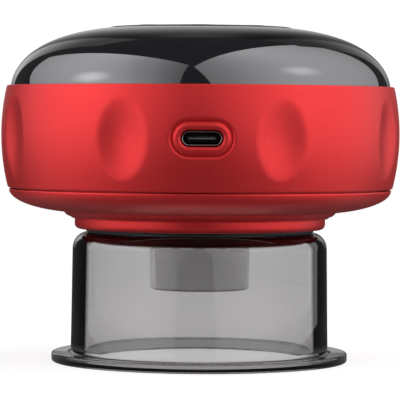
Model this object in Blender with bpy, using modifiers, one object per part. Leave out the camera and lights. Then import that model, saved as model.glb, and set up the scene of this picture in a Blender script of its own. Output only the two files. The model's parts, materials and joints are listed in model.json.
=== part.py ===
"""Electric cupping massager: a rechargeable vacuum head that stands on a clear suction cup.

The head lifts off its cup. Inside it are a wobble-plate vacuum pump, a release valve, a cell, two circuit
boards and, in a lens that reaches down into the cup, the red lamps, a warming disc and a ring magnet.
Metres, +Z up. The origin is the middle of the cup's mouth, on the surface that the flange stands on.
The charging socket faces -Y.
"""

import math

import bmesh
import bpy
from mathutils import Matrix, Vector

MM = 0.001
DEG = math.pi / 180
QUARTER = math.pi / 2
HALF = 0.5

# Clearances that all the pieces share
GAP = 0.3 * MM
SLIDING_GAP = 0.4 * MM
OVERRUN = 2.0 * MM
MERGE = 0.01 * MM

# Suction cup
CUP_HEIGHT = 30.0 * MM
CUP_BASE_RADIUS = 30.1 * MM
CUP_TOP_RADIUS = 29.7 * MM
CUP_WALL = 3.6 * MM
CUP_ROOF = 3.7 * MM
CUP_SHOULDER = 3.0 * MM
CUP_INNER_CORNER = 1.4 * MM
CUP_MOUTH_CHAMFER = 1.2 * MM
CUP_FOOT_FILLET = 0.8 * MM
FLANGE_RADIUS = 34.6 * MM
FLANGE_THICKNESS = 2.2 * MM
FLANGE_ROUND = 0.8 * MM

# Neck: collar, spigot and seals
COLLAR_RADIUS = 29.3 * MM
COLLAR_HEIGHT = 2.75 * MM
COLLAR_LIFT = 0.95 * MM
COLLAR_ROUND = 1.6 * MM
SPIGOT_RADIUS = 18.0 * MM
SEAL_RADIUS = 26.6 * MM
SEAL_BORE_RADIUS = 20.4 * MM
SEAL_RECESS = 0.45 * MM
RING_SECTION = 0.6 * MM
RING_LIFT = 1.5 * MM
TUBE_WALL = 4.4 * MM
TUBE_HEIGHT = 4.3 * MM

# Lamp lens and what it holds
LENS_RADIUS = 11.6 * MM
LENS_DROP = 9.3 * MM
LENS_WALL = 1.9 * MM
LENS_DRAFT = 0.5 * MM
LENS_CORNER = 1.2 * MM
LENS_FLANGE = 1.2 * MM
LENS_FLANGE_REACH = 1.3 * MM
LENS_LEDGE_HEIGHT = 1.75 * MM
LAMP_RADIUS = 1.5 * MM
LAMP_HEIGHT = 2.0 * MM
LAMP_COUNT = 5
LAMP_CIRCLE = 5.4 * MM
LAMP_BOARD = 1.0 * MM
WARM_DISC = 1.0 * MM
MAGNET_HEIGHT = 2.4 * MM
MAGNET_BORE_RADIUS = 4.0 * MM
RETAINER = 1.5 * MM
RETAINER_BORE_RADIUS = 5.0 * MM

# Air way from the cup to the intake hose
AIR_HOLE_RADIUS = 0.7 * MM
FILTER_RADIUS = 1.3 * MM
FILTER = 0.6 * MM
BARB_RADIUS = 1.1 * MM
BARB_BORE_RADIUS = 0.5 * MM
BARB_LENGTH = 3.4 * MM
NIPPLE_RADIUS = 1.4 * MM
NIPPLE_BASE = 1.2 * MM

# Screws up through the collar
NECK_SCREW_COUNT = 4
NECK_SCREW_RADIUS = 1.1 * MM
NECK_SCREW_LENGTH = 7.4 * MM
NECK_HEAD_RADIUS = 2.1 * MM
NECK_HEAD = 0.9 * MM

# Lower cover
COVER_LAP = 0.5 * MM
COVER_LIP = 0.5 * MM
COVER_HEIGHT = 6.7 * MM
COVER_WALL = 2.0 * MM
BELLY_TUCK = 1.3 * MM
BELLY_INSET = 1.85 * MM
BELLY_DROP = 5.4 * MM
BELLY_END = 76 * DEG
TONGUE_HEIGHT = 3.3 * MM
TONGUE_WALL = 1.9 * MM

# Main shell, with its eight finger dimples
SHELL_WALL = 3.3 * MM
SHELL_ARC = 50.0 * MM
SHELL_BELLY_HEIGHT = 12.5 * MM
SHELL_EDGE = 0.4 * MM
REBATE_DEPTH = 2.2 * MM
DIMPLE_COUNT = 8
DIMPLE_LIFT = 11.7 * MM
DIMPLE_WIDTH = 12.4 * MM
DIMPLE_HEIGHT = 18.8 * MM
DIMPLE_DEPTH = 1.3 * MM
DIMPLE_FADE = 1.4
COLUMNS_PER_DIMPLE = 10
CROWDING = 0.45

# Charging socket
PORT_LIFT = 11.9 * MM
SOCKET_WIDTH = 8.94 * MM
SOCKET_HEIGHT = 3.26 * MM
SOCKET_LENGTH = 7.3 * MM
SOCKET_WALL = 0.3 * MM
SOCKET_INSET = 1.8 * MM
BEZEL_WIDTH = 12.8 * MM
BEZEL_HEIGHT = 7.3 * MM
BEZEL_MARGIN = 0.4 * MM
BEZEL_DEPTH = 2.3 * MM
BEZEL_PROUD = 0.1 * MM
BEZEL_ROUND = 0.3 * MM
PORT_CHAMFER = 0.35 * MM
CONTACT_WIDTH = 6.7 * MM
CONTACT_THICKNESS = 0.7 * MM
CONTACT_LENGTH = 4.6 * MM
CONTACT_BASE = 1.4 * MM
CHARGE_BOARD_WIDTH = 14.0 * MM
CHARGE_BOARD_LENGTH = 9.0 * MM
BOARD = 1.0 * MM
BOARD_PIN_RADIUS = 0.7 * MM

# Top cover, panel, keys and display
DOME_INSET = 2.1 * MM
DOME_RISE = 16.7 * MM
DOME_WALL = 2.0 * MM
DOME_SIDE_POWER = 2.5
DOME_RISE_POWER = 2.2
PANEL_RADIUS = 21.2 * MM
PANEL = 1.5 * MM
PANEL_PROUD = 0.25 * MM
PANEL_ROUND = 0.3 * MM
PANEL_FLOOR = 1.5 * MM
KEY_RADIUS = 3.7 * MM
KEY_FLANGE_RADIUS = 4.8 * MM
KEY_FLANGE = 1.2 * MM
KEY_PROUD = 0.25 * MM
KEY_TRAVEL = 0.5 * MM
KEY_PITCH = 11.0 * MM
KEY_ROW = 8.5 * MM
KEY_MIDDLE_DROP = 3.0 * MM
DISPLAY_WIDTH = 22.0 * MM
DISPLAY_DEPTH = 12.0 * MM
DISPLAY_HEIGHT = 3.4 * MM
DISPLAY_ROW = 6.5 * MM
DISPLAY_MARGIN = 1.5 * MM
CONTROL_BOARD_RADIUS = 30.0 * MM
CONTROL_BOARD = 1.6 * MM
CONTROL_BOARD_CLEARANCE = 1.15 * MM
BOARD_BOSS_RADIUS = 2.5 * MM
BOARD_BOSS_CIRCLE = 26.0 * MM
BOARD_BOSS_LENGTH = 3.7 * MM
BOARD_SCREW_COUNT = 3
BOARD_SCREW_RADIUS = 1.0 * MM
BOARD_SCREW_LENGTH = 5.0 * MM
BOARD_HEAD_RADIUS = 1.9 * MM
BOARD_HEAD = 0.8 * MM
SWITCH_SIDE = 6.0 * MM

# Room inside the housing: round its contents, and each side of the intake hose
CONTENT_CLEARANCE = 0.72 * MM
HOSE_LANE = 1.1 * MM

# Chassis and cell
CHASSIS = 1.6 * MM
CHASSIS_BOSS_RADIUS = 3.0 * MM
CHASSIS_BOSS_LENGTH = 4.7 * MM
SADDLE_LIFT = 0.6 * MM
SADDLE_THICKNESS = 3.0 * MM
SADDLE_DEPTH = 4.2 * MM
CELL_RADIUS = 9.15 * MM
CELL_LENGTH = 65.0 * MM
CELL_SHIFT = 1.5 * MM
CELL_CAP_RADIUS = 2.8 * MM
CELL_CAP = 1.0 * MM
CELL_CRIMP = 0.5 * MM

# Vacuum pump, along +X from the back of its motor
PUMP_START_X = -27.0 * MM
CAN_RADIUS = 12.0 * MM
CAN_WALL = 1.0 * MM
CAN_LENGTH = 28.0 * MM
BEARING_RADIUS = 2.8 * MM
BEARING_LENGTH = 3.0 * MM
STATOR_WALL = 2.1 * MM
STATOR_START = 5.0 * MM
STATOR_LENGTH = 16.0 * MM
SHAFT_RADIUS = 1.0 * MM
ARMATURE_RADIUS = 8.0 * MM
ARMATURE_INSET = 1.0 * MM
ARMATURE_SLOTS = 3
SLOT_WIDTH = 1.6 * MM
SLOT_DEPTH = 3.0 * MM
COMMUTATOR_RADIUS = 2.6 * MM
COMMUTATOR_LENGTH = 4.0 * MM
HEAD_RADIUS = 12.6 * MM
HEAD_WALL = 1.5 * MM
HEAD_LENGTH = 15.7 * MM
HUB_RADIUS = 5.0 * MM
HUB_LENGTH = 5.2 * MM
HUB_SHAFT_GRIP = 2.6 * MM
HUB_PIN_GRIP = 1.7 * MM
CRANK_TILT = 5 * DEG
PIN_RADIUS = 0.8 * MM
PIN_LENGTH = 5.5 * MM
WOBBLE_RADIUS = 7.0 * MM
WOBBLE_LOBE = 1.5 * MM
WOBBLE = 1.5 * MM
WOBBLE_BOSS_RADIUS = 2.4 * MM
WOBBLE_BOSS = 3.2 * MM
WOBBLE_DROP = 2.1 * MM
DIAPHRAGM = 1.2 * MM
DIAPHRAGM_CUPS = 3
DIAPHRAGM_CUP_RADIUS = 2.6 * MM
DIAPHRAGM_CUP_DEPTH = 1.3 * MM
DIAPHRAGM_CIRCLE = 5.8 * MM
CAP_LENGTH = 4.0 * MM
PORT_SPREAD = 5.0 * MM

# Release valve
VALVE_SIDE = 10.0 * MM
VALVE_HEIGHT = 14.0 * MM
VALVE_X = -5.0 * MM
VALVE_CLEARANCE = 2.4 * MM
VALVE_SPREAD = 2.5 * MM
VALVE_BORE_RADIUS = 2.6 * MM
VALVE_BORE_DEPTH = 10.0 * MM
PLUNGER_STEM_RADIUS = 1.2 * MM
PLUNGER_HEAD_RADIUS = 2.2 * MM
PLUNGER_PROUD = 1.5 * MM
PLUNGER_HEAD = 4.4 * MM
PLUNGER_TRAVEL = 1.2 * MM
SPRING_WIRE_RADIUS = 0.25 * MM
SPRING_RADIUS = 1.85 * MM
SPRING_TURNS = 4.5

# Hoses and their tee
HOSE_RADIUS = 2.2 * MM
HOSE_WALL = 0.8 * MM
HOSE_POINT_SPACING = 6.0 * MM
HOSE_CLEARANCE = 1.8 * MM
HOSE_BEND = 7.0 * MM
HOSE_SIDE_CLEARANCE = 0.8 * MM
HOSE_END_CLEARANCE = 0.35 * MM
PUMP_HOSE_SHARES = ((1.64, 0.1), (1.0, 0.75), (0.32, 1.0), (-0.32, 1.0))
TEE_INSET = 2.0 * MM
TEE_BODY_RADIUS = 2.2 * MM
TEE_BODY_LENGTH = 5.0 * MM

# Numbers of facets
BODY_STEPS = 44
NECK_STEPS = 32
SMALL_STEPS = 18
TINY_STEPS = 8

# Colour, roughness and metallic value of each finish
FINISHES = {
    "smoked_plastic": ((0.10, 0.10, 0.105), 0.05, 0.0),
    "lens_smoke": ((0.13, 0.13, 0.14), 0.12, 0.0),
    "red_satin": ((0.62, 0.035, 0.04), 0.34, 0.55),
    "black_gloss": ((0.010, 0.010, 0.012), 0.05, 0.0),
    "black_panel": ((0.006, 0.006, 0.007), 0.08, 0.0),
    "black_rubber": ((0.015, 0.015, 0.016), 0.6, 0.0),
    "clear_rubber": ((0.70, 0.70, 0.68), 0.4, 0.0),
    "white_plastic": ((0.75, 0.75, 0.73), 0.45, 0.0),
    "black_plastic": ((0.03, 0.03, 0.032), 0.45, 0.0),
    "circuit_board": ((0.02, 0.16, 0.07), 0.4, 0.0),
    "steel": ((0.60, 0.60, 0.61), 0.3, 1.0),
    "magnet": ((0.22, 0.22, 0.23), 0.35, 0.9),
    "aluminium": ((0.78, 0.78, 0.80), 0.3, 1.0),
    "copper": ((0.72, 0.38, 0.22), 0.3, 1.0),
    "red_lamp": ((0.80, 0.05, 0.04), 0.15, 0.0),
    "cell_wrap": ((0.05, 0.22, 0.55), 0.35, 0.0),
}

# The intake hose rises between the cell and the pump, and the valve stands behind the cell
CELL_Y = HOSE_RADIUS + HOSE_LANE + CELL_RADIUS
PUMP_Y = -HOSE_RADIUS - HOSE_LANE - HEAD_RADIUS
VALVE_Y = CELL_Y + CELL_RADIUS + VALVE_CLEARANCE + VALVE_SIDE / 2
TEE_Y = VALVE_Y - TEE_INSET
CELL_START_X = -CELL_LENGTH / 2 - CELL_SHIFT
CELL_END_X = CELL_START_X + CELL_LENGTH

# Along the pump, from the back of its motor
HEAD_START = CAN_LENGTH + GAP
HEAD_END = HEAD_START + HEAD_LENGTH
HUB_START = HEAD_START + HEAD_WALL + 2 * GAP
HUB_END = HUB_START + HUB_LENGTH
SHAFT_END = HUB_START + HUB_SHAFT_GRIP
CAP_START = HEAD_END + GAP + DIAPHRAGM + GAP
CAP_END = CAP_START + CAP_LENGTH
STATOR_RADIUS = CAN_RADIUS - CAN_WALL - GAP
ARMATURE_START = STATOR_START + ARMATURE_INSET
ARMATURE_END = STATOR_START + STATOR_LENGTH - ARMATURE_INSET

# The body is as wide as the farthest corner of its contents needs, which makes it 93 mm across
CONTENT_CORNERS = (
    (CELL_START_X, CELL_Y + CELL_RADIUS),
    (PUMP_START_X, PUMP_Y - CAN_RADIUS),
    (PUMP_START_X + CAP_END, PUMP_Y - HEAD_RADIUS),
    (VALVE_X - VALVE_SIDE / 2, VALVE_Y + VALVE_SIDE / 2),
)
INNER_RADIUS = max(math.hypot(*corner) for corner in CONTENT_CORNERS) + CONTENT_CLEARANCE
SHELL_BORE_RADIUS = INNER_RADIUS + TONGUE_WALL + GAP
SHELL_RADIUS = SHELL_BORE_RADIUS + SHELL_WALL
DOME_RADIUS = SHELL_RADIUS - DOME_INSET
BELLY_CENTRE = COLLAR_RADIUS - BELLY_TUCK
BELLY_REACH = SHELL_RADIUS - BELLY_INSET - BELLY_CENTRE
HOSE_SIDE_RADIUS = INNER_RADIUS - HOSE_SIDE_CLEARANCE - HOSE_RADIUS

# Heights of the seats, from the cup's mouth upwards
CUP_CEILING_Z = CUP_HEIGHT - CUP_ROOF
CUP_HOLE_RADIUS = SPIGOT_RADIUS + SLIDING_GAP
SPIGOT_Z = CUP_CEILING_Z + GAP
SPIGOT_ROOT_Z = CUP_HEIGHT + GAP
COLLAR_Z = CUP_HEIGHT + COLLAR_LIFT
SEAL_SEAT_Z = COLLAR_Z + SEAL_RECESS
COLLAR_TOP_Z = COLLAR_Z + COLLAR_HEIGHT
TUBE_TOP_Z = COLLAR_TOP_Z + TUBE_HEIGHT
LENS_BORE_RADIUS = LENS_RADIUS + GAP
LENS_LEDGE_RADIUS = LENS_BORE_RADIUS + LENS_FLANGE_REACH
LENS_LEDGE_Z = COLLAR_Z + LENS_LEDGE_HEIGHT
LENS_Z = CUP_CEILING_Z - LENS_DROP
LENS_TOP_Z = LENS_LEDGE_Z + GAP + LENS_FLANGE
TUBE_RADIUS = LENS_LEDGE_RADIUS + TUBE_WALL
AIR_X = LENS_LEDGE_RADIUS + TUBE_WALL / 2
NIPPLE_SEAT_Z = TUBE_TOP_Z - NIPPLE_BASE
BARB_Z = NIPPLE_SEAT_Z + GAP + NIPPLE_BASE
NECK_HEAD_Z = SEAL_SEAT_Z + GAP
NECK_HEAD_SEAT_Z = NECK_HEAD_Z + NECK_HEAD + GAP
NECK_SCREW_CIRCLE = (SEAL_RADIUS + SEAL_BORE_RADIUS) / 2
COVER_CEILING_Z = COLLAR_TOP_Z + GAP
COVER_Z = COVER_CEILING_Z - COVER_LAP
COVER_FLOOR_Z = COVER_CEILING_Z + COVER_WALL
COVER_TOP_Z = COVER_Z + COVER_HEIGHT
SHELL_Z = COVER_TOP_Z + GAP
BOSS_Z = COVER_FLOOR_Z + GAP
CHASSIS_Z = BOSS_Z + CHASSIS_BOSS_LENGTH
DECK_Z = CHASSIS_Z + CHASSIS
CELL_Z = DECK_Z + SADDLE_LIFT + CELL_RADIUS
PUMP_Z = DECK_Z + SADDLE_LIFT + HEAD_RADIUS
PORT_Z = SHELL_Z + PORT_LIFT
HOSE_Z = CELL_Z + CELL_RADIUS + HOSE_CLEARANCE + HOSE_RADIUS
CONTENT_TOP_Z = max(HOSE_Z + HOSE_RADIUS, PUMP_Z + HEAD_RADIUS)
BOARD_Z = CONTENT_TOP_Z + CONTROL_BOARD_CLEARANCE
BOARD_TOP_Z = BOARD_Z + CONTROL_BOARD
BOARD_BOSS_Z = BOARD_TOP_Z + GAP
ROOF_Z = BOARD_BOSS_Z + BOARD_BOSS_LENGTH
RECESS_Z = ROOF_Z + PANEL_FLOOR
PANEL_Z = RECESS_Z + GAP
PANEL_TOP_Z = PANEL_Z + PANEL
RECESS_RIM_Z = PANEL_TOP_Z - PANEL_PROUD
KEY_FLANGE_TOP_Z = ROOF_Z - GAP
KEY_Z = KEY_FLANGE_TOP_Z - KEY_FLANGE

# The dome's outer curve ends where the panel's recess starts, and the dome stands in the shell's rebate
RECESS_RADIUS = PANEL_RADIUS + GAP
RECESS_ANGLE = math.acos((RECESS_RADIUS / DOME_RADIUS) ** (DOME_SIDE_POWER / 2))
DOME_Z = RECESS_RIM_Z - DOME_RISE * math.sin(RECESS_ANGLE) ** (2 / DOME_RISE_POWER)
REBATE_Z = DOME_Z - GAP
SHELL_TOP_Z = REBATE_Z + REBATE_DEPTH


# Tools of construction

def clear_scene():
    """Removes every object, and makes the collections of the parts and of their cutters."""
    for obj in list(bpy.data.objects):
        bpy.data.objects.remove(obj, do_unlink=True)
    made = []
    for name in ("cupping_massager", "cutters"):
        collection = bpy.data.collections.new(name)
        bpy.context.scene.collection.children.link(collection)
        made.append(collection)
    made[1].hide_render = True
    return made


PARTS, CUTTERS = clear_scene()


def finish(name):
    """The material of that finish, made once."""
    found = bpy.data.materials.get(name)
    if found:
        return found
    colour, roughness, metallic = FINISHES[name]
    made = bpy.data.materials.new(name)
    made.use_nodes = True
    shader = made.node_tree.nodes["Principled BSDF"]
    shader.inputs["Base Color"].default_value = (*colour, 1.0)
    shader.inputs["Roughness"].default_value = roughness
    shader.inputs["Metallic"].default_value = metallic
    return made


def keep(obj, surface, parent=None):
    """Files an object as a part, or as a cutter where it has no finish."""
    for collection in list(obj.users_collection):
        collection.objects.unlink(obj)
    (PARTS if surface else CUTTERS).objects.link(obj)
    if surface:
        obj.data.materials.clear()
        obj.data.materials.append(finish(surface))
    else:
        obj.hide_render = True
        obj.display_type = "WIRE"
    obj.parent = parent
    return obj


def as_mesh(obj):
    """The object's evaluated shape as a plain welded mesh object, under the same name and parent."""
    graph = bpy.context.evaluated_depsgraph_get()
    mesh = bpy.data.meshes.new_from_object(obj.evaluated_get(graph))
    sheet = bmesh.new()
    sheet.from_mesh(mesh)
    bmesh.ops.remove_doubles(sheet, verts=sheet.verts, dist=MERGE / 10)
    sheet.to_mesh(mesh)
    sheet.free()
    name = obj.name
    parent = obj.parent
    place = obj.matrix_basis.copy()
    collection = obj.users_collection[0]
    is_cutter = obj.hide_render
    bpy.data.objects.remove(obj, do_unlink=True)
    made = bpy.data.objects.new(name, mesh)
    collection.objects.link(made)
    made.parent = parent
    made.matrix_basis = place
    made.hide_render = is_cutter
    made.display_type = "WIRE" if is_cutter else "TEXTURED"
    return made


def smooth(obj, angle=35 * DEG):
    """Shades a round mesh smooth, with its sharp edges kept."""
    obj.data.shade_smooth()
    obj.data.set_sharp_from_angle(angle=angle)
    return obj


def pivot(name, place, turn=(0, 0, 0), parent=None):
    """An empty on the axis of the pieces that it carries."""
    obj = bpy.data.objects.new(name, None)
    PARTS.objects.link(obj)
    obj.location = place
    obj.rotation_euler = turn
    obj.parent = parent
    return obj


def turned(name, profile, steps, surface, place=(0, 0, 0), turn=(0, 0, 0), parent=None):
    """A profile of (radius, height), run down its outer side, turned round local Z.

    A profile that starts and ends on the axis stays open there. Any other one is closed.
    """
    mesh = bpy.data.meshes.new(name)
    count = len(profile)
    edges = [(i, i + 1) for i in range(count - 1)]
    if profile[0][0] > MERGE:
        edges.append((count - 1, 0))
    mesh.from_pydata([(radius, 0, height) for radius, height in profile], edges, [])
    obj = bpy.data.objects.new(name, mesh)
    obj.location = place
    obj.rotation_euler = turn
    keep(obj, surface, parent)
    screw = obj.modifiers.new("turn", "SCREW")
    screw.steps = steps
    screw.render_steps = steps
    screw.use_merge_vertices = True
    screw.merge_threshold = MERGE
    return smooth(as_mesh(obj))


def rod(name, radius, low, high, surface, place=(0, 0, 0), turn=(0, 0, 0), sides=TINY_STEPS, parent=None):
    """A cylinder along its local Z from low to high, set at a place and turned."""
    bpy.ops.mesh.primitive_cylinder_add(vertices=sides, radius=radius, depth=high - low)
    obj = bpy.context.object
    obj.name = name
    obj.data.transform(Matrix.Translation((0, 0, (low + high) / 2)))
    obj.location = place
    obj.rotation_euler = turn
    return smooth(keep(obj, surface, parent))


def block(name, size, centre, surface, edge=0, parent=None):
    """A box of that size about its centre, with its edges rounded where edge is given."""
    bpy.ops.mesh.primitive_cube_add(size=1)
    obj = bpy.context.object
    obj.name = name
    obj.data.transform(Matrix.Diagonal((*size, 1)))
    obj.location = centre
    keep(obj, surface, parent)
    if edge:
        bevel = obj.modifiers.new("edge", "BEVEL")
        bevel.width = edge
        bevel.segments = 2
    return obj


def plate(name, outlines, thickness, surface, place=(0, 0, 0), turn=(0, 0, 0), parent=None, edge=0):
    """Flat outlines made thick along local Z. One that lies inside another is a hole."""
    curve = bpy.data.curves.new(name, "CURVE")
    curve.dimensions = "2D"
    curve.fill_mode = "BOTH"
    curve.extrude = thickness / 2 - edge
    curve.bevel_depth = edge
    curve.bevel_resolution = 0
    for outline in outlines:
        spline = curve.splines.new("POLY")
        spline.points.add(len(outline) - 1)
        for point, (x, y) in zip(spline.points, outline):
            point.co = (x, y, 0, 1)
        spline.use_cyclic_u = True
    obj = bpy.data.objects.new(name, curve)
    obj.location = place
    obj.rotation_euler = turn
    return as_mesh(keep(obj, surface, parent))


def slot_outline(width, height, steps=8):
    """The points of a slot with round ends, wider than it is high."""
    radius = height / 2
    reach = width / 2 - radius
    return [
        (side * (reach + radius * math.cos(angle)), side * radius * math.sin(angle))
        for side in (1, -1)
        for angle in [math.pi * (i / steps - HALF) for i in range(steps + 1)]
    ]


def smooth_route(points, spacing):
    """Points along a smooth curve through the given ones, about that far apart."""
    ends = [points[0] * 2 - points[1], *points, points[-1] * 2 - points[-2]]
    route = []
    for before, start, end, after in zip(ends, ends[1:], ends[2:], ends[3:]):
        steps = max(1, round((end - start).length / spacing))
        for i in range(steps):
            t = i / steps
            pull = end - before
            bow = 2 * before - 5 * start + 4 * end - after
            flick = 3 * start - before - 3 * end + after
            route.append(start + (t * pull + t**2 * bow + t**3 * flick) / 2)
    return [*route, points[-1]]


def pipe(name, points, radius, surface, wall=0, resolution=2, place=(0, 0, 0)):
    """A tube along a route of points. With a wall it is hollow and open at both ends."""
    curve = bpy.data.curves.new(name, "CURVE")
    curve.dimensions = "3D"
    curve.bevel_depth = radius
    curve.bevel_resolution = resolution
    curve.use_fill_caps = not wall
    spline = curve.splines.new("POLY")
    spline.points.add(len(points) - 1)
    for point, where in zip(spline.points, points):
        point.co = (*where, 1)
    obj = bpy.data.objects.new(name, curve)
    obj.location = place
    obj = as_mesh(keep(obj, surface))
    if wall:
        shell = obj.modifiers.new("wall", "SOLIDIFY")
        shell.thickness = wall
        shell.offset = -1
    return smooth(obj)


def combine(obj, other, operation):
    """Adds a Boolean with another object. What is joined on becomes a helper."""
    if operation == "UNION":
        keep(other, None, other.parent)
    step = obj.modifiers.new(other.name, "BOOLEAN")
    step.operation = operation
    step.object = other


def cut(obj, *cutters):
    """Removes the cutters' shapes from the object."""
    for cutter in cutters:
        combine(obj, cutter, "DIFFERENCE")
    return obj


def join(obj, *others):
    """Joins other pieces of the same moulding on to the object."""
    for other in others:
        combine(obj, other, "UNION")
    return obj


def around(radius, angle, height=0):
    """The point at that radius, angle and height about the object's axis."""
    return Vector((radius * math.cos(angle), radius * math.sin(angle), height))


def ring_of(count, radius, start=0):
    """That many places evenly about the object's axis."""
    return [around(radius, start + math.tau * i / count) for i in range(count)]


def arc(centre, radius, start, end, steps):
    """(radius, height) points of an arc of a profile."""
    return [
        (centre[0] + radius * math.cos(start + (end - start) * i / steps),
         centre[1] + radius * math.sin(start + (end - start) * i / steps))
        for i in range(steps + 1)
    ]


# Suction cup: a thick clear moulding, open below, with a flange that seals on the skin

def make_suction_cup():
    """The cup, turned from one profile."""
    shoulder = (CUP_TOP_RADIUS - CUP_SHOULDER, CUP_HEIGHT - CUP_SHOULDER)
    inner_top = CUP_TOP_RADIUS - CUP_WALL
    inner_base = CUP_BASE_RADIUS - CUP_WALL
    rim = FLANGE_RADIUS - FLANGE_ROUND
    profile = [
        (CUP_HOLE_RADIUS, CUP_HEIGHT),
        *arc(shoulder, CUP_SHOULDER, QUARTER, 0, 3),
        (CUP_BASE_RADIUS, FLANGE_THICKNESS + CUP_FOOT_FILLET),
        (CUP_BASE_RADIUS + CUP_FOOT_FILLET, FLANGE_THICKNESS),
        *arc((rim, FLANGE_THICKNESS - FLANGE_ROUND), FLANGE_ROUND, QUARTER, 0, 2),
        *arc((rim, FLANGE_ROUND), FLANGE_ROUND, 0, -QUARTER, 2),
        (inner_base + CUP_MOUTH_CHAMFER, 0),
        (inner_base, CUP_MOUTH_CHAMFER),
        (inner_top, CUP_CEILING_Z - CUP_INNER_CORNER),
        (inner_top - CUP_INNER_CORNER, CUP_CEILING_Z),
        (CUP_HOLE_RADIUS, CUP_CEILING_Z),
    ]
    turned("suction_cup", profile, BODY_STEPS, "smoked_plastic")


# Neck: the collar under the body, its spigot that plugs into the cup, and what seals and fixes them

def neck_screw_places():
    """Where the neck screws stand."""
    return ring_of(NECK_SCREW_COUNT, NECK_SCREW_CIRCLE, QUARTER / 2)


def make_neck_collar():
    """The red collar with its spigot, lens bore, seal groove, air way and screw holes."""
    groove_z = SPIGOT_Z + RING_LIFT
    groove_top_z = groove_z + 2 * (RING_SECTION + GAP)
    groove_radius = CUP_HOLE_RADIUS - 2 * (RING_SECTION + GAP)
    recess_radius = SEAL_RADIUS + GAP
    ridge_radius = SEAL_BORE_RADIUS - GAP
    rounding = (COLLAR_RADIUS - COLLAR_ROUND, COLLAR_Z + COLLAR_ROUND)
    profile = [
        (COLLAR_RADIUS, COLLAR_TOP_Z),
        *arc(rounding, COLLAR_ROUND, 0, -QUARTER, 2),
        (recess_radius, COLLAR_Z),
        (recess_radius, SEAL_SEAT_Z),
        (ridge_radius, SEAL_SEAT_Z),
        (ridge_radius, SPIGOT_ROOT_Z),
        (SPIGOT_RADIUS, SPIGOT_ROOT_Z),
        (SPIGOT_RADIUS, groove_top_z),
        (groove_radius, groove_top_z),
        (groove_radius, groove_z),
        (SPIGOT_RADIUS, groove_z),
        (SPIGOT_RADIUS, SPIGOT_Z),
        (LENS_BORE_RADIUS, SPIGOT_Z),
        (LENS_BORE_RADIUS, LENS_LEDGE_Z),
        (LENS_LEDGE_RADIUS, LENS_LEDGE_Z),
        (LENS_LEDGE_RADIUS, TUBE_TOP_Z),
        (TUBE_RADIUS, TUBE_TOP_Z),
        (TUBE_RADIUS, COLLAR_TOP_Z),
    ]
    collar = turned("neck_collar", profile, NECK_STEPS, "red_satin")
    air = (AIR_X, 0, 0)
    cut(collar,
        rod("air_way_cut", AIR_HOLE_RADIUS, SPIGOT_Z - OVERRUN, TUBE_TOP_Z + OVERRUN, None, air),
        rod("filter_cut", FILTER_RADIUS + GAP, SPIGOT_Z - OVERRUN, SPIGOT_Z + FILTER + GAP, None, air),
        rod("nipple_cut", NIPPLE_RADIUS + GAP, NIPPLE_SEAT_Z, TUBE_TOP_Z + OVERRUN, None, air))
    for i, place in enumerate(neck_screw_places()):
        cut(collar,
            rod(f"collar_screw_cut_{i}", NECK_SCREW_RADIUS + GAP, COLLAR_Z - OVERRUN,
                COLLAR_TOP_Z + OVERRUN, None, place),
            rod(f"collar_head_cut_{i}", NECK_HEAD_RADIUS + GAP, COLLAR_Z - OVERRUN,
                NECK_HEAD_SEAT_Z, None, place))


def make_neck_seals():
    """The flat seal that the cup's top meets, and the ring in the spigot's groove."""
    turned("cup_seal", [
        (SEAL_RADIUS, SEAL_SEAT_Z - GAP), (SEAL_RADIUS, SPIGOT_ROOT_Z),
        (SEAL_BORE_RADIUS, SPIGOT_ROOT_Z), (SEAL_BORE_RADIUS, SEAL_SEAT_Z - GAP)],
        NECK_STEPS, "black_rubber")
    centre = (CUP_HOLE_RADIUS - GAP - RING_SECTION, SPIGOT_Z + RING_LIFT + GAP + RING_SECTION)
    turned("spigot_ring", arc(centre, RING_SECTION, QUARTER, -3 * QUARTER, 6)[:-1],
           NECK_STEPS, "black_rubber")


def make_air_inlet():
    """The filter at the spigot's mouth, and the nipple above it that the intake hose fits."""
    air = (AIR_X, 0, 0)
    rod("inlet_filter", FILTER_RADIUS, SPIGOT_Z, SPIGOT_Z + FILTER, "white_plastic", air)
    turned("air_nipple", [
        (BARB_RADIUS, BARB_Z + BARB_LENGTH), (BARB_RADIUS, BARB_Z),
        (NIPPLE_RADIUS, BARB_Z), (NIPPLE_RADIUS, NIPPLE_SEAT_Z + GAP),
        (BARB_BORE_RADIUS, NIPPLE_SEAT_Z + GAP), (BARB_BORE_RADIUS, BARB_Z + BARB_LENGTH)],
        TINY_STEPS, "white_plastic", air)


def make_neck_screws():
    """Pan-head screws, heads down, one in each boss of the chassis."""
    shank_z = NECK_HEAD_Z + NECK_HEAD
    tip_z = shank_z + NECK_SCREW_LENGTH
    for i, place in enumerate(neck_screw_places()):
        turned(f"neck_screw_{i + 1}", [
            (0, tip_z), (NECK_SCREW_RADIUS, tip_z - NECK_SCREW_RADIUS), (NECK_SCREW_RADIUS, shank_z),
            (NECK_HEAD_RADIUS, shank_z), (NECK_HEAD_RADIUS, NECK_HEAD_Z), (0, NECK_HEAD_Z)],
            TINY_STEPS, "steel", place)


# Lamp head: the smoked lens that hangs in the cup, and what it holds, bottom to top

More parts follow.
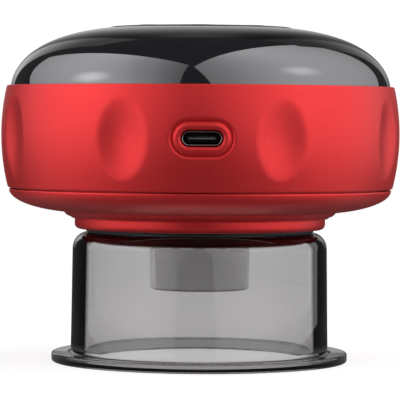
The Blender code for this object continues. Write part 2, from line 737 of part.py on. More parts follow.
def make_lamp_head():
    """Lens, lamps, their board, the warming disc, the ring magnet and the retainer above."""
    foot = LENS_RADIUS - LENS_DRAFT
    bore = foot - LENS_WALL
    floor_z = LENS_Z + LENS_WALL
    flange = LENS_RADIUS + LENS_FLANGE_REACH
    turned("lamp_lens", [
        (0, floor_z), (bore, floor_z), (bore + LENS_DRAFT, LENS_TOP_Z),
        (flange, LENS_TOP_Z), (flange, LENS_LEDGE_Z + GAP), (LENS_RADIUS, LENS_LEDGE_Z + GAP),
        (LENS_RADIUS, CUP_CEILING_Z),
        *arc((foot - LENS_CORNER, LENS_Z + LENS_CORNER), LENS_CORNER, 0, -QUARTER, 3),
        (0, LENS_Z)], NECK_STEPS, "lens_smoke")
    tip_z = CUP_CEILING_Z + GAP
    lamp_top_z = tip_z + LAMP_HEIGHT
    for i, place in enumerate([Vector(), *ring_of(LAMP_COUNT - 1, LAMP_CIRCLE)]):
        turned(f"red_lamp_{i + 1}", [
            (0, lamp_top_z), (LAMP_RADIUS, lamp_top_z),
            *arc((0, tip_z + LAMP_RADIUS), LAMP_RADIUS, 0, -QUARTER, 2)], TINY_STEPS, "red_lamp", place)
    core = bore - GAP
    board_z = lamp_top_z + GAP
    disc_z = board_z + LAMP_BOARD + GAP
    magnet_z = disc_z + WARM_DISC + GAP
    retainer_z = LENS_TOP_Z + GAP
    rod("lamp_board", core, board_z, board_z + LAMP_BOARD, "circuit_board", sides=SMALL_STEPS)
    rod("warm_disc", core, disc_z, disc_z + WARM_DISC, "aluminium", sides=SMALL_STEPS)
    turned("ring_magnet", [
        (core, magnet_z + MAGNET_HEIGHT), (core, magnet_z),
        (MAGNET_BORE_RADIUS, magnet_z), (MAGNET_BORE_RADIUS, magnet_z + MAGNET_HEIGHT)],
        SMALL_STEPS, "magnet")
    turned("lamp_retainer", [
        (LENS_LEDGE_RADIUS - GAP, retainer_z + RETAINER), (LENS_LEDGE_RADIUS - GAP, retainer_z),
        (RETAINER_BORE_RADIUS, retainer_z), (RETAINER_BORE_RADIUS, retainer_z + RETAINER)],
        SMALL_STEPS, "black_plastic")


# Housing: lower cover, main shell and top cover

def make_lower_cover():
    """The rounded underside of the body, with a tongue inside the shell and a lap over the collar."""
    tongue = SHELL_BORE_RADIUS - GAP
    inner_reach = INNER_RADIUS - BELLY_CENTRE
    inner_drop = BELLY_DROP - COVER_WALL
    end = (BELLY_CENTRE + BELLY_REACH * math.cos(BELLY_END), COVER_TOP_Z - BELLY_DROP * math.sin(BELLY_END))
    throat = COLLAR_RADIUS + GAP
    lip = throat + COVER_LIP
    steps = 4
    sweep = [BELLY_END * i / steps for i in range(steps + 1)]
    profile = [
        (tongue, COVER_TOP_Z + TONGUE_HEIGHT),
        (tongue, COVER_TOP_Z),
        *[(BELLY_CENTRE + BELLY_REACH * math.cos(t), COVER_TOP_Z - BELLY_DROP * math.sin(t)) for t in sweep],
        ((end[0] + lip) / 2, (end[1] + COVER_Z) / 2),
        (lip, COVER_Z),
        (throat, COVER_Z),
        (throat, COVER_CEILING_Z),
        (TUBE_RADIUS + GAP, COVER_CEILING_Z),
        (TUBE_RADIUS + GAP, COVER_FLOOR_Z),
        (throat, COVER_FLOOR_Z),
        *[(BELLY_CENTRE + inner_reach * math.cos(t), COVER_TOP_Z - inner_drop * math.sin(t))
          for t in reversed(sweep[::2])],
        (INNER_RADIUS, COVER_TOP_Z + TONGUE_HEIGHT),
    ]
    cover = turned("lower_cover", profile, BODY_STEPS, "red_satin")
    for i, place in enumerate(neck_screw_places()):
        cut(cover, rod(f"cover_screw_cut_{i}", NECK_SCREW_RADIUS + GAP, COVER_CEILING_Z - OVERRUN,
                       COVER_FLOOR_Z + OVERRUN, None, place))


def shell_radius(height):
    """The radius of the barrel-shaped shell at that height."""
    rise = height - SHELL_Z - SHELL_BELLY_HEIGHT
    return SHELL_RADIUS - SHELL_ARC + math.sqrt(SHELL_ARC**2 - rise**2)


def crowd(share):
    """Crowds equal steps from -1 to 1 towards the middle."""
    return share * (CROWDING + (1 - CROWDING) * share**2)


def press_dimples(shell):
    """Crowds the shell's facets towards each dimple's middle line, and presses the dimples in.

    A dimple is an upright oval, deepest in the middle, whose slope fades out at its edge.
    """
    pitch = math.tau / DIMPLE_COUNT
    middle_z = SHELL_Z + DIMPLE_LIFT
    for vertex in shell.data.vertices:
        x, y, z = vertex.co
        radius = math.hypot(x, y)
        angle = math.atan2(y, x) + QUARTER
        sector = math.floor(angle / pitch)
        offset = crowd(2 * (angle / pitch - sector) - 1) * pitch / 2
        across = offset * SHELL_RADIUS / (DIMPLE_WIDTH / 2)
        along = (z - middle_z) / (DIMPLE_HEIGHT / 2)
        if SHELL_Z < z < SHELL_TOP_Z and abs(radius - shell_radius(z)) < GAP / 2:
            radius -= DIMPLE_DEPTH * max(0, 1 - across**2 - along**2) ** DIMPLE_FADE
        vertex.co = around(radius, (sector + HALF) * pitch + offset - QUARTER, z)
    shell.data.update()


def follow_shell(piece):
    """Bends a piece that faces -Y so that its face follows the shell's curve."""
    for vertex in piece.data.vertices:
        vertex.co.z -= SHELL_RADIUS - math.sqrt(SHELL_RADIUS**2 - vertex.co.x**2)
    piece.data.update()
    return piece


def facing_front(name, outlines, front_y, back_y, surface, edge=0):
    """Outlines seen from the front, made thick from front_y to back_y at the port's height."""
    middle = (0, (front_y + back_y) / 2, PORT_Z)
    return plate(name, outlines, back_y - front_y, surface, middle, (QUARTER, 0, 0), edge=edge)


def make_main_shell():
    """The barrel-shaped red shell, with the rebate for the top cover and the charging port's pocket."""
    mouth = DOME_RADIUS + GAP
    rows = 9
    top = SHELL_TOP_Z - SHELL_EDGE
    bottom = SHELL_Z + SHELL_EDGE
    heights = [top + (bottom - top) * i / rows for i in range(rows + 1)]
    shell = turned("main_shell", [
        (mouth + SHELL_EDGE / 2, SHELL_TOP_Z),
        *[(shell_radius(height), height) for height in heights],
        (shell_radius(SHELL_Z) - SHELL_EDGE, SHELL_Z),
        (SHELL_BORE_RADIUS, SHELL_Z), (SHELL_BORE_RADIUS, REBATE_Z),
        (mouth, REBATE_Z), (mouth, SHELL_TOP_Z)], COLUMNS_PER_DIMPLE * DIMPLE_COUNT, "red_satin")
    press_dimples(shell)
    smooth(shell)
    outline = slot_outline(BEZEL_WIDTH + 2 * GAP, BEZEL_HEIGHT + 2 * GAP)
    cut(shell,
        facing_front("port_pocket_cut", [outline], -SHELL_RADIUS - OVERRUN, OVERRUN - SHELL_BORE_RADIUS,
                     None),
        follow_shell(facing_front("port_chamfer_cut", [outline], -SHELL_RADIUS - OVERRUN,
                                  PORT_CHAMFER - SHELL_RADIUS, None, PORT_CHAMFER)))


def superellipse(side, rise, start, end, steps):
    """(radius, height) points of the dome's side, from one parameter angle to another."""
    return [
        (side * math.cos(t) ** (2 / DOME_SIDE_POWER), DOME_Z + rise * math.sin(t) ** (2 / DOME_RISE_POWER))
        for t in [start + (end - start) * i / steps for i in range(steps + 1)]
    ]


def key_places():
    """Where the keys stand: one each side, and one between them nearer the front."""
    return {
        "power": Vector((-KEY_PITCH, -KEY_ROW, 0)),
        "suction": Vector((0, -KEY_ROW - KEY_MIDDLE_DROP, 0)),
        "heat": Vector((KEY_PITCH, -KEY_ROW, 0)),
    }


def board_screw_places():
    """Where the control board's screws stand."""
    return ring_of(BOARD_SCREW_COUNT, BOARD_BOSS_CIRCLE, QUARTER * 2 / 3)


def make_top_cover():
    """The glossy black dome, with the panel's recess, key holes, display window and board bosses."""
    inner_rise = DOME_RISE - DOME_WALL
    inner_side = DOME_RADIUS - DOME_WALL
    inner_end = math.asin(((ROOF_Z - DOME_Z) / inner_rise) ** (DOME_RISE_POWER / 2))
    cover = turned("top_cover", [
        (0, RECESS_Z), (RECESS_RADIUS, RECESS_Z),
        *superellipse(DOME_RADIUS, DOME_RISE, RECESS_ANGLE, 0, 6),
        *superellipse(inner_side, inner_rise, 0, inner_end, 3),
        (0, ROOF_Z)], BODY_STEPS, "black_gloss")
    deep = ROOF_Z - OVERRUN
    high = RECESS_Z + OVERRUN
    bore_top = ROOF_Z + (RECESS_Z - ROOF_Z) / 3
    for i, place in enumerate(board_screw_places()):
        join(cover, rod(f"board_boss_{i}", BOARD_BOSS_RADIUS, BOARD_BOSS_Z, ROOF_Z + PANEL_FLOOR / 3, None,
                        place))
        cut(cover, rod(f"board_boss_bore_{i}", BOARD_SCREW_RADIUS + GAP, BOARD_BOSS_Z - OVERRUN,
                       bore_top - PANEL_FLOOR / 2, None, place))
    for name, place in key_places().items():
        cut(cover, rod(f"{name}_hole", KEY_RADIUS + GAP, deep, high, None, place, sides=SMALL_STEPS))
    window = (DISPLAY_WIDTH - DISPLAY_MARGIN, DISPLAY_DEPTH - DISPLAY_MARGIN * 2, high - deep)
    cut(cover, block("display_window", window, (0, DISPLAY_ROW, (high + deep) / 2), None))


def make_control_panel():
    """The thin raised disc on the dome, with its key holes."""
    rim = PANEL_RADIUS - PANEL_ROUND
    panel = turned("control_panel", [
        (0, PANEL_TOP_Z), *arc((rim, PANEL_TOP_Z - PANEL_ROUND), PANEL_ROUND, QUARTER, 0, 2),
        (PANEL_RADIUS, PANEL_Z), (0, PANEL_Z)], BODY_STEPS, "black_panel")
    for name, place in key_places().items():
        cut(panel, rod(f"{name}_panel_hole", KEY_RADIUS + GAP, PANEL_Z - OVERRUN, PANEL_TOP_Z + OVERRUN,
                       None, place, sides=SMALL_STEPS))


def make_keys():
    """Three keys, each held down by its flange under the roof, and its switch on the board below."""
    top_z = PANEL_TOP_Z + KEY_PROUD
    switch_z = BOARD_TOP_Z + GAP
    switch_height = KEY_Z - KEY_TRAVEL - GAP / 2 - switch_z
    for i, (name, place) in enumerate(key_places().items()):
        turned(f"{name}_key", [
            (0, top_z), *arc((KEY_RADIUS - PANEL_ROUND, top_z - PANEL_ROUND), PANEL_ROUND, QUARTER, 0, 2),
            (KEY_RADIUS, KEY_FLANGE_TOP_Z), (KEY_FLANGE_RADIUS, KEY_FLANGE_TOP_Z),
            (KEY_FLANGE_RADIUS, KEY_Z), (0, KEY_Z)], SMALL_STEPS, "black_panel", place)
        body = block(f"tact_switch_{i + 1}", (SWITCH_SIDE, SWITCH_SIDE, switch_height * 3 / 4),
                     (place.x, place.y, switch_z + switch_height * 3 / 8), "black_plastic")
        join(body, rod(f"tact_stem_{i}", SWITCH_SIDE / 4, switch_z + switch_height / 2,
                       switch_z + switch_height, None, place))


def make_control_board():
    """The round board under the roof, its display module and the screws that hold it to the bosses."""
    board = rod("control_board", CONTROL_BOARD_RADIUS, BOARD_Z, BOARD_TOP_Z, "circuit_board",
                sides=NECK_STEPS)
    block("display_module", (DISPLAY_WIDTH, DISPLAY_DEPTH, DISPLAY_HEIGHT),
          (0, DISPLAY_ROW, BOARD_TOP_Z + GAP + DISPLAY_HEIGHT / 2), "black_plastic")
    head_top_z = BOARD_Z - GAP
    for i, place in enumerate(board_screw_places()):
        cut(board, rod(f"board_hole_{i}", BOARD_SCREW_RADIUS + GAP, BOARD_Z - OVERRUN, BOARD_TOP_Z + OVERRUN,
                       None, place))
        turned(f"board_screw_{i + 1}", [
            (0, head_top_z + BOARD_SCREW_LENGTH), (BOARD_SCREW_RADIUS, head_top_z + BOARD_SCREW_LENGTH),
            (BOARD_SCREW_RADIUS, head_top_z), (BOARD_HEAD_RADIUS, head_top_z),
            (BOARD_HEAD_RADIUS, head_top_z - BOARD_HEAD), (0, head_top_z - BOARD_HEAD)],
            TINY_STEPS, "steel", place)


# Charging socket: bezel, steel receptacle, contact tongue and the small board that carries them

def make_charging_port():
    """The port's pieces, front to back, and its board below the receptacle."""
    bezel = follow_shell(facing_front("port_bezel", [
        slot_outline(BEZEL_WIDTH, BEZEL_HEIGHT),
        slot_outline(SOCKET_WIDTH + 2 * BEZEL_MARGIN, SOCKET_HEIGHT + 2 * BEZEL_MARGIN)],
        -SHELL_RADIUS - BEZEL_PROUD, BEZEL_DEPTH - SHELL_RADIUS, "red_satin"))
    bevel = bezel.modifiers.new("edge", "BEVEL")
    bevel.width = BEZEL_ROUND
    bevel.segments = 1
    bevel.limit_method = "ANGLE"
    bevel.angle_limit = 60 * DEG
    mouth_y = SOCKET_INSET - SHELL_RADIUS
    back_y = mouth_y + SOCKET_LENGTH
    facing_front("usb_shell", [
        slot_outline(SOCKET_WIDTH, SOCKET_HEIGHT, 6),
        slot_outline(SOCKET_WIDTH - 2 * SOCKET_WALL, SOCKET_HEIGHT - 2 * SOCKET_WALL, 6)],
        mouth_y, back_y, "steel")
    inner = slot_outline(SOCKET_WIDTH - 2 * (SOCKET_WALL + GAP), SOCKET_HEIGHT - 2 * (SOCKET_WALL + GAP), 6)
    base_y = back_y - CONTACT_BASE
    tongue = facing_front("usb_tongue", [inner], base_y, back_y, "black_plastic")
    tip_y = base_y - CONTACT_LENGTH
    root_y = base_y + CONTACT_BASE / 2
    join(tongue, block("contact_blade", (CONTACT_WIDTH, root_y - tip_y, CONTACT_THICKNESS),
                       (0, (tip_y + root_y) / 2, PORT_Z), None))
    top_z = PORT_Z - SOCKET_HEIGHT / 2 - GAP
    board = block("charge_board", (CHARGE_BOARD_WIDTH, CHARGE_BOARD_LENGTH, BOARD),
                  (0, charge_board_y(), top_z - BOARD / 2), "circuit_board")
    for i, place in enumerate(charge_pin_places()):
        cut(board, rod(f"charge_board_hole_{i}", BOARD_PIN_RADIUS + GAP, top_z - BOARD - OVERRUN,
                       top_z + OVERRUN, None, place))


def charge_board_y():
    """The middle of the charging board: its front edge is just inside the shell."""
    corner = math.sqrt((SHELL_BORE_RADIUS - GAP) ** 2 - (CHARGE_BOARD_WIDTH / 2) ** 2)
    return CHARGE_BOARD_LENGTH / 2 - corner


def charge_pin_places():
    """Where the chassis pins pass through the charging board, beside the receptacle."""
    reach = CHARGE_BOARD_WIDTH / 2 - 2 * BOARD_PIN_RADIUS
    back = charge_board_y() + CHARGE_BOARD_LENGTH / 2 - 2 * BOARD_PIN_RADIUS
    return [Vector((side * reach, back, 0)) for side in (-1, 1)]


# Chassis and cell

def saddle(name, x, axis_y, axis_z, radius):
    """A rib across X whose top is hollowed to carry a cylinder of that radius."""
    width = 2 * radius - SADDLE_THICKNESS
    low = CHASSIS_Z + CHASSIS / 2
    high = DECK_Z + SADDLE_DEPTH
    rib = block(name, (SADDLE_THICKNESS, width, high - low), (x, axis_y, (low + high) / 2), None)
    hollow = rod(f"{name}_hollow", radius + GAP, -SADDLE_THICKNESS, SADDLE_THICKNESS, None,
                 (x, axis_y, axis_z), (0, QUARTER, 0), sides=SMALL_STEPS)
    return cut(rib, hollow)


def make_chassis():
    """The round deck with its screw bosses, saddles for the cell and the pump, and the board's posts."""
    low = CHASSIS_Z + CHASSIS / 2
    chassis = rod("chassis", INNER_RADIUS - GAP, CHASSIS_Z, DECK_Z, "black_plastic", sides=NECK_STEPS)
    cell_reach = CELL_LENGTH / 3
    can_middle = PUMP_START_X + CAN_LENGTH / 2
    join(chassis,
         saddle("cell_saddle_back", -cell_reach, CELL_Y, CELL_Z, CELL_RADIUS),
         saddle("cell_saddle_front", cell_reach, CELL_Y, CELL_Z, CELL_RADIUS),
         saddle("pump_saddle_back", can_middle - CAN_LENGTH / 3, PUMP_Y, PUMP_Z, CAN_RADIUS),
         saddle("pump_saddle_front", can_middle + CAN_LENGTH / 3, PUMP_Y, PUMP_Z, CAN_RADIUS))
    board_z = PORT_Z - SOCKET_HEIGHT / 2 - GAP - BOARD
    for i, place in enumerate(charge_pin_places()):
        join(chassis,
             rod(f"charge_post_{i}", 2 * BOARD_PIN_RADIUS, low, board_z - GAP, None, place),
             rod(f"charge_pin_{i}", BOARD_PIN_RADIUS, low, board_z + BOARD, None, place))
    for i, place in enumerate(neck_screw_places()):
        join(chassis, rod(f"neck_boss_{i}", CHASSIS_BOSS_RADIUS, BOSS_Z, low, None, place))
        cut(chassis, rod(f"neck_boss_bore_{i}", NECK_SCREW_RADIUS + GAP, BOSS_Z - OVERRUN, DECK_Z + OVERRUN,
                         None, place))
    cut(chassis, rod("hose_hole", HOSE_RADIUS + GAP, CHASSIS_Z - OVERRUN, DECK_Z + OVERRUN, None,
                     (AIR_X, 0, 0)))


def make_cell():
    """The rechargeable cell, lying along X in its saddles."""
    body = CELL_LENGTH - CELL_CAP
    turned("battery_cell", [
        (0, CELL_LENGTH), (CELL_CAP_RADIUS, CELL_LENGTH), (CELL_CAP_RADIUS, body),
        (CELL_RADIUS - CELL_CRIMP, body), (CELL_RADIUS, body - CELL_CRIMP), (CELL_RADIUS, CELL_CRIMP),
        (CELL_RADIUS - CELL_CRIMP, 0), (0, 0)], SMALL_STEPS, "cell_wrap",
        (CELL_START_X, CELL_Y, CELL_Z), (0, QUARTER, 0))


# Vacuum pump: the motor's shaft turns a hub whose slanted pin rocks a plate under three soft cups

def make_motor(axis):
    """The motor's can, its ring magnet, and the armature on its shaft."""
    bore = SHAFT_RADIUS + GAP
    inner = CAN_RADIUS - CAN_WALL
    bearing_end = CAN_WALL + BEARING_LENGTH
    turned("pump_can", [
        (0, CAN_WALL), (bore, CAN_WALL), (bore, bearing_end), (BEARING_RADIUS, bearing_end),
        (BEARING_RADIUS, CAN_WALL), (inner, CAN_WALL), (inner, CAN_LENGTH), (CAN_RADIUS, CAN_LENGTH),
        (CAN_RADIUS, CAN_WALL), (inner, 0), (0, 0)], SMALL_STEPS, "steel", parent=axis)
    stator_end = STATOR_START + STATOR_LENGTH
    stator_bore = STATOR_RADIUS - STATOR_WALL
    turned("motor_magnet", [
        (STATOR_RADIUS, stator_end), (STATOR_RADIUS, STATOR_START),
        (stator_bore, STATOR_START), (stator_bore, stator_end)], SMALL_STEPS, "magnet", parent=axis)
    commutator_end = ARMATURE_END + COMMUTATOR_LENGTH
    rotor = turned("pump_rotor", [
        (0, SHAFT_END), (SHAFT_RADIUS, SHAFT_END), (SHAFT_RADIUS, commutator_end),
        (COMMUTATOR_RADIUS, commutator_end), (COMMUTATOR_RADIUS, ARMATURE_END),
        (ARMATURE_RADIUS, ARMATURE_END), (ARMATURE_RADIUS, ARMATURE_START), (SHAFT_RADIUS, ARMATURE_START),
        (SHAFT_RADIUS, CAN_WALL + GAP), (0, CAN_WALL + GAP)], SMALL_STEPS, "copper", parent=axis)
    length = ARMATURE_END - ARMATURE_START + OVERRUN
    for i, place in enumerate(ring_of(ARMATURE_SLOTS, ARMATURE_RADIUS)):
        slot = block(f"armature_slot_{i}", (2 * SLOT_DEPTH, SLOT_WIDTH, length),
                     (place.x, place.y, (ARMATURE_START + ARMATURE_END) / 2), None, parent=axis)
        slot.rotation_euler.z = math.tau * i / ARMATURE_SLOTS
        cut(rotor, slot)


def wobble_outline():
    """A round plate's outline that swells into a lobe at each cup."""
    count = 8 * DIAPHRAGM_CUPS
    points = []
    for i in range(count):
        angle = math.tau * i / count
        points.append(around(WOBBLE_RADIUS + WOBBLE_LOBE * math.cos(DIAPHRAGM_CUPS * angle), angle)[:2])
    return points


def make_crank(axis, tilted):
    """The hub, its slanted pin and the plate that the pin rocks."""
    hub = rod("eccentric_hub", HUB_RADIUS, HUB_START, HUB_END, "white_plastic", sides=SMALL_STEPS,
              parent=axis)
    pin_z = HUB_END - HUB_PIN_GRIP + GAP - HEAD_END
    cut(hub,
        rod("hub_shaft_bore", SHAFT_RADIUS + GAP, HUB_START - OVERRUN, SHAFT_END + GAP, None, parent=axis),
        rod("hub_pin_bore", PIN_RADIUS + GAP, pin_z - GAP, pin_z + HUB_PIN_GRIP + OVERRUN, None,
            parent=tilted))
    rod("crank_pin", PIN_RADIUS, pin_z, pin_z + PIN_LENGTH, "steel", parent=tilted)
    top = -WOBBLE_DROP
    boss_z = top - WOBBLE - WOBBLE_BOSS
    plate_ = plate("wobble_plate", [wobble_outline()], WOBBLE, "white_plastic", (0, 0, top - WOBBLE / 2),
                   parent=tilted)
    join(plate_, rod("wobble_boss", WOBBLE_BOSS_RADIUS, boss_z, top - WOBBLE / 2, None, parent=tilted))
    cut(plate_, rod("wobble_bore", PIN_RADIUS + GAP, boss_z - OVERRUN, pin_z + PIN_LENGTH + GAP, None,
                    parent=tilted))


def make_pump_head(axis):
    """The pump's cup-shaped head, the soft diaphragm on its rim, and the cap with its two nozzles."""
    shaft_hole = SHAFT_RADIUS + SLIDING_GAP
    inner = HEAD_RADIUS - HEAD_WALL
    floor = HEAD_START + HEAD_WALL
    turned("pump_head", [
        (HEAD_RADIUS, HEAD_END), (HEAD_RADIUS, HEAD_START), (shaft_hole, HEAD_START),
        (shaft_hole, floor), (inner, floor), (inner, HEAD_END)], SMALL_STEPS, "black_plastic", parent=axis)
    sheet = HEAD_END + GAP
    diaphragm = rod("pump_diaphragm", HEAD_RADIUS, sheet, sheet + DIAPHRAGM, "clear_rubber",
                    sides=SMALL_STEPS, parent=axis)
    for i, place in enumerate(ring_of(DIAPHRAGM_CUPS, DIAPHRAGM_CIRCLE)):
        join(diaphragm, rod(f"diaphragm_cup_{i}", DIAPHRAGM_CUP_RADIUS, sheet - DIAPHRAGM_CUP_DEPTH,
                            sheet + DIAPHRAGM / 2, None, place, parent=axis))
    cap = rod("pump_cap", HEAD_RADIUS, CAP_START, CAP_END, "black_plastic", sides=SMALL_STEPS, parent=axis)
    for side in (-1, 1):
        place = (0, side * PORT_SPREAD, 0)
        join(cap, rod(f"cap_nozzle_{side}", BARB_RADIUS, CAP_END - CAP_LENGTH / 2, CAP_END + BARB_LENGTH,
                      None, place, parent=axis))
        cut(cap, rod(f"cap_bore_{side}", BARB_BORE_RADIUS, CAP_START + CAP_LENGTH / 3,
                     CAP_END + BARB_LENGTH + OVERRUN, None, place, parent=axis))


def make_pump():
    """The whole pump, on its axis and on the tilted axis that crosses it at the diaphragm."""
    axis = pivot("pump_axis", (PUMP_START_X, PUMP_Y, PUMP_Z), (0, QUARTER, 0))
    tilted = pivot("wobble_axis", (0, 0, HEAD_END), (0, CRANK_TILT, 0), axis)
    make_motor(axis)
    make_crank(axis, tilted)
    make_pump_head(axis)


# Release valve: a plunger in a block, held up by its spring

VALVE_Z = DECK_Z + GAP
VALVE_TOP_Z = VALVE_Z + VALVE_HEIGHT
VALVE_FLOOR_Z = VALVE_TOP_Z - VALVE_BORE_DEPTH
PLUNGER_X = VALVE_X - VALVE_SPREAD
NOZZLE_X = VALVE_X + VALVE_SPREAD + GAP


def spring_points(low, high):
    """Points of the spring's helix between two heights, eight to a turn."""
    count = round(8 * SPRING_TURNS)
    return [around(SPRING_RADIUS, math.tau * SPRING_TURNS * i / count, low + (high - low) * i / count)
            for i in range(count + 1)]


def make_valve():
    """The valve's body with its bore and nozzle, the plunger and the spring round its stem."""
    body = block("valve_body", (VALVE_SIDE, VALVE_SIDE, VALVE_HEIGHT),
                 (VALVE_X, VALVE_Y, VALVE_Z + VALVE_HEIGHT / 2), "white_plastic", GAP)
    join(body, rod("valve_nozzle", BARB_RADIUS, VALVE_TOP_Z - OVERRUN, VALVE_TOP_Z + BARB_LENGTH, None,
                   (NOZZLE_X, VALVE_Y, 0)))
    cut(body,
        rod("valve_nozzle_bore", BARB_BORE_RADIUS, VALVE_FLOOR_Z, VALVE_TOP_Z + BARB_LENGTH + OVERRUN, None,
            (NOZZLE_X, VALVE_Y, 0)),
        rod("valve_bore", VALVE_BORE_RADIUS, VALVE_FLOOR_Z, VALVE_TOP_Z + OVERRUN, None,
            (PLUNGER_X, VALVE_Y, 0), sides=16))
    top_z = VALVE_TOP_Z + PLUNGER_PROUD
    collar_z = top_z - PLUNGER_HEAD
    turned("valve_plunger", [
        (0, top_z), (PLUNGER_HEAD_RADIUS, top_z), (PLUNGER_HEAD_RADIUS, collar_z),
        (PLUNGER_STEM_RADIUS, collar_z), (PLUNGER_STEM_RADIUS, VALVE_FLOOR_Z + GAP + PLUNGER_TRAVEL),
        (0, VALVE_FLOOR_Z + GAP + PLUNGER_TRAVEL)], TINY_STEPS, "steel", (PLUNGER_X, VALVE_Y, 0))
    end = GAP + SPRING_WIRE_RADIUS
    low = VALVE_FLOOR_Z + end
    points = spring_points(low, collar_z - end)
    turn = round(len(points) / SPRING_TURNS)
    least = min((points[i + turn] - points[i]).length for i in range(len(points) - turn))
    print(f"valve spring: least gap between turns {(least - 2 * SPRING_WIRE_RADIUS) / MM:.2f} mm")
    pipe("valve_spring", [point - Vector((0, 0, low)) for point in points], SPRING_WIRE_RADIUS, "steel",
         resolution=1, place=(PLUNGER_X, VALVE_Y, low))


# Hoses: one up from the cup's air way to a tee, and one from the tee to the pump and to the valve

def make_tee():
    """The tee that joins the three hoses above the cell."""
    half = TEE_BODY_LENGTH / 2
    reach = half + GAP + BARB_LENGTH
    lying = (0, QUARTER, 0)
    centre = (AIR_X, TEE_Y, HOSE_Z)
    tee = rod("air_tee", TEE_BODY_RADIUS, -half, half, "white_plastic", centre, lying)
    join(tee,
         rod("tee_run", BARB_RADIUS, -reach, reach, None, centre, lying),
         rod("tee_branch", BARB_RADIUS, 0, TEE_BODY_RADIUS + GAP + BARB_LENGTH, None, centre,
             (QUARTER, 0, 0)))
    cut(tee,
        rod("tee_run_bore", BARB_BORE_RADIUS, -reach - OVERRUN, reach + OVERRUN, None, centre, lying),
        rod("tee_branch_bore", BARB_BORE_RADIUS, 0, TEE_BODY_RADIUS + BARB_LENGTH + OVERRUN, None, centre,
            (QUARTER, 0, 0)))


def make_hoses():
    """The three hoses, each pushed over its nozzles with its end just off the shoulder behind them."""
    shoulder = TEE_BODY_LENGTH / 2 + GAP
    intake = [
        Vector((AIR_X, 0, BARB_Z + GAP)),
        Vector((AIR_X, 0, CELL_Z)),
        Vector((AIR_X, 0, HOSE_Z - HOSE_BEND)),
        Vector((AIR_X, HOSE_BEND / 2, HOSE_Z - HOSE_BEND / 5)),
        Vector((AIR_X, HOSE_BEND * 3 / 2, HOSE_Z)),
        Vector((AIR_X, TEE_Y - TEE_BODY_RADIUS - GAP, HOSE_Z)),
    ]
    drop = HOSE_Z - PUMP_Z
    suction_y = PUMP_Y + PORT_SPREAD
    pump_end = PUMP_START_X + CAP_END + GAP
    turn = math.acos((CELL_END_X + HOSE_RADIUS + HOSE_END_CLEARANCE) / HOSE_SIDE_RADIUS)
    pump = [
        Vector((AIR_X + shoulder, TEE_Y, HOSE_Z)),
        Vector((AIR_X + shoulder + BARB_LENGTH, TEE_Y, HOSE_Z)),
        *[around(HOSE_SIDE_RADIUS, turn * share, HOSE_Z - drop * fall) for share, fall in PUMP_HOSE_SHARES],
        Vector((pump_end + 2 * BARB_LENGTH, suction_y, PUMP_Z)),
        Vector((pump_end, suction_y, PUMP_Z)),
    ]
    valve_z = VALVE_TOP_Z + GAP
    rise = HOSE_Z - valve_z
    valve = [
        Vector((AIR_X - shoulder, TEE_Y, HOSE_Z)),
        Vector((AIR_X - shoulder - BARB_LENGTH, TEE_Y, HOSE_Z)),
        Vector((NOZZLE_X + HOSE_BEND / 2, (TEE_Y + VALVE_Y) / 2, HOSE_Z - rise / 12)),
        Vector((NOZZLE_X, VALVE_Y, valve_z + rise / 2)),
        Vector((NOZZLE_X, VALVE_Y, valve_z)),
    ]
    for name, points in (("intake_hose", intake), ("pump_hose", pump), ("valve_hose", valve)):
        pipe(name, smooth_route(points, HOSE_POINT_SPACING), HOSE_RADIUS, "clear_rubber", wall=HOSE_WALL)


def main():
    """Makes every piece, bottom to top."""
    make_suction_cup()
    make_neck_collar()
    make_neck_seals()
    make_air_inlet()
    make_neck_screws()
    make_lamp_head()
    make_lower_cover()
    make_main_shell()
    make_top_cover()
    make_control_panel()
    make_keys()
    make_control_board()
    make_charging_port()
    make_chassis()
    make_cell()
    make_pump()
    make_valve()
    make_tee()
    make_hoses()


main()
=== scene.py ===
"""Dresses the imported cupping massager: smooth outer pieces, finishes, studio and camera.

Every size below is a length in millimetres unless its name says otherwise, and becomes metres
only where points are made.
"""

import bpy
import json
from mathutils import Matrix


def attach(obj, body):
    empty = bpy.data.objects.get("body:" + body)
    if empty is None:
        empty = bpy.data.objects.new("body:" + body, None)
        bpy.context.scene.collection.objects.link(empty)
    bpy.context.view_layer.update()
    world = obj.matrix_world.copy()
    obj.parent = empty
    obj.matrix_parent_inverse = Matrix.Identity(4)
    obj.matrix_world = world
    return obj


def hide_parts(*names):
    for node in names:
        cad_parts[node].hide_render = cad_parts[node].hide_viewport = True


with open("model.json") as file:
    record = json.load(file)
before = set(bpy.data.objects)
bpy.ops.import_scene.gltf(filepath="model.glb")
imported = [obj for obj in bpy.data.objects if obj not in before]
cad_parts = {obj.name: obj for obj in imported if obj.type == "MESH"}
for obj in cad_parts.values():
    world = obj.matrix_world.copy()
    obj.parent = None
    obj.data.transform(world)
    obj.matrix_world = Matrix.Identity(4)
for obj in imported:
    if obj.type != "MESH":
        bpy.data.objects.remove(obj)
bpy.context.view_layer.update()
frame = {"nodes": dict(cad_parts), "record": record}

import json
import logging
import math
from collections.abc import Callable, Sequence
from dataclasses import dataclass, field
from enum import Enum

import bmesh
import bpy
from mathutils import Matrix, Vector

MM = 0.001
TURN = math.tau
QUARTER = math.pi / 2
log = logging.getLogger("cupping_massager")

Colour = tuple[float, float, float]
Point = tuple[float, float]
Corner = tuple[float, float, float]
Socket = bpy.types.NodeSocket
Outputs = bpy.types.NodeOutputs
Piece = bpy.types.Object
Sheet = bmesh.types.BMesh


class Body(Enum):
    """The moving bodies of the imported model."""

    CUP = "cup"
    HOUSING = "housing"
    POWER = "power_button"
    SUCTION = "suction_button"
    HEAT = "heat_button"


# Node trees


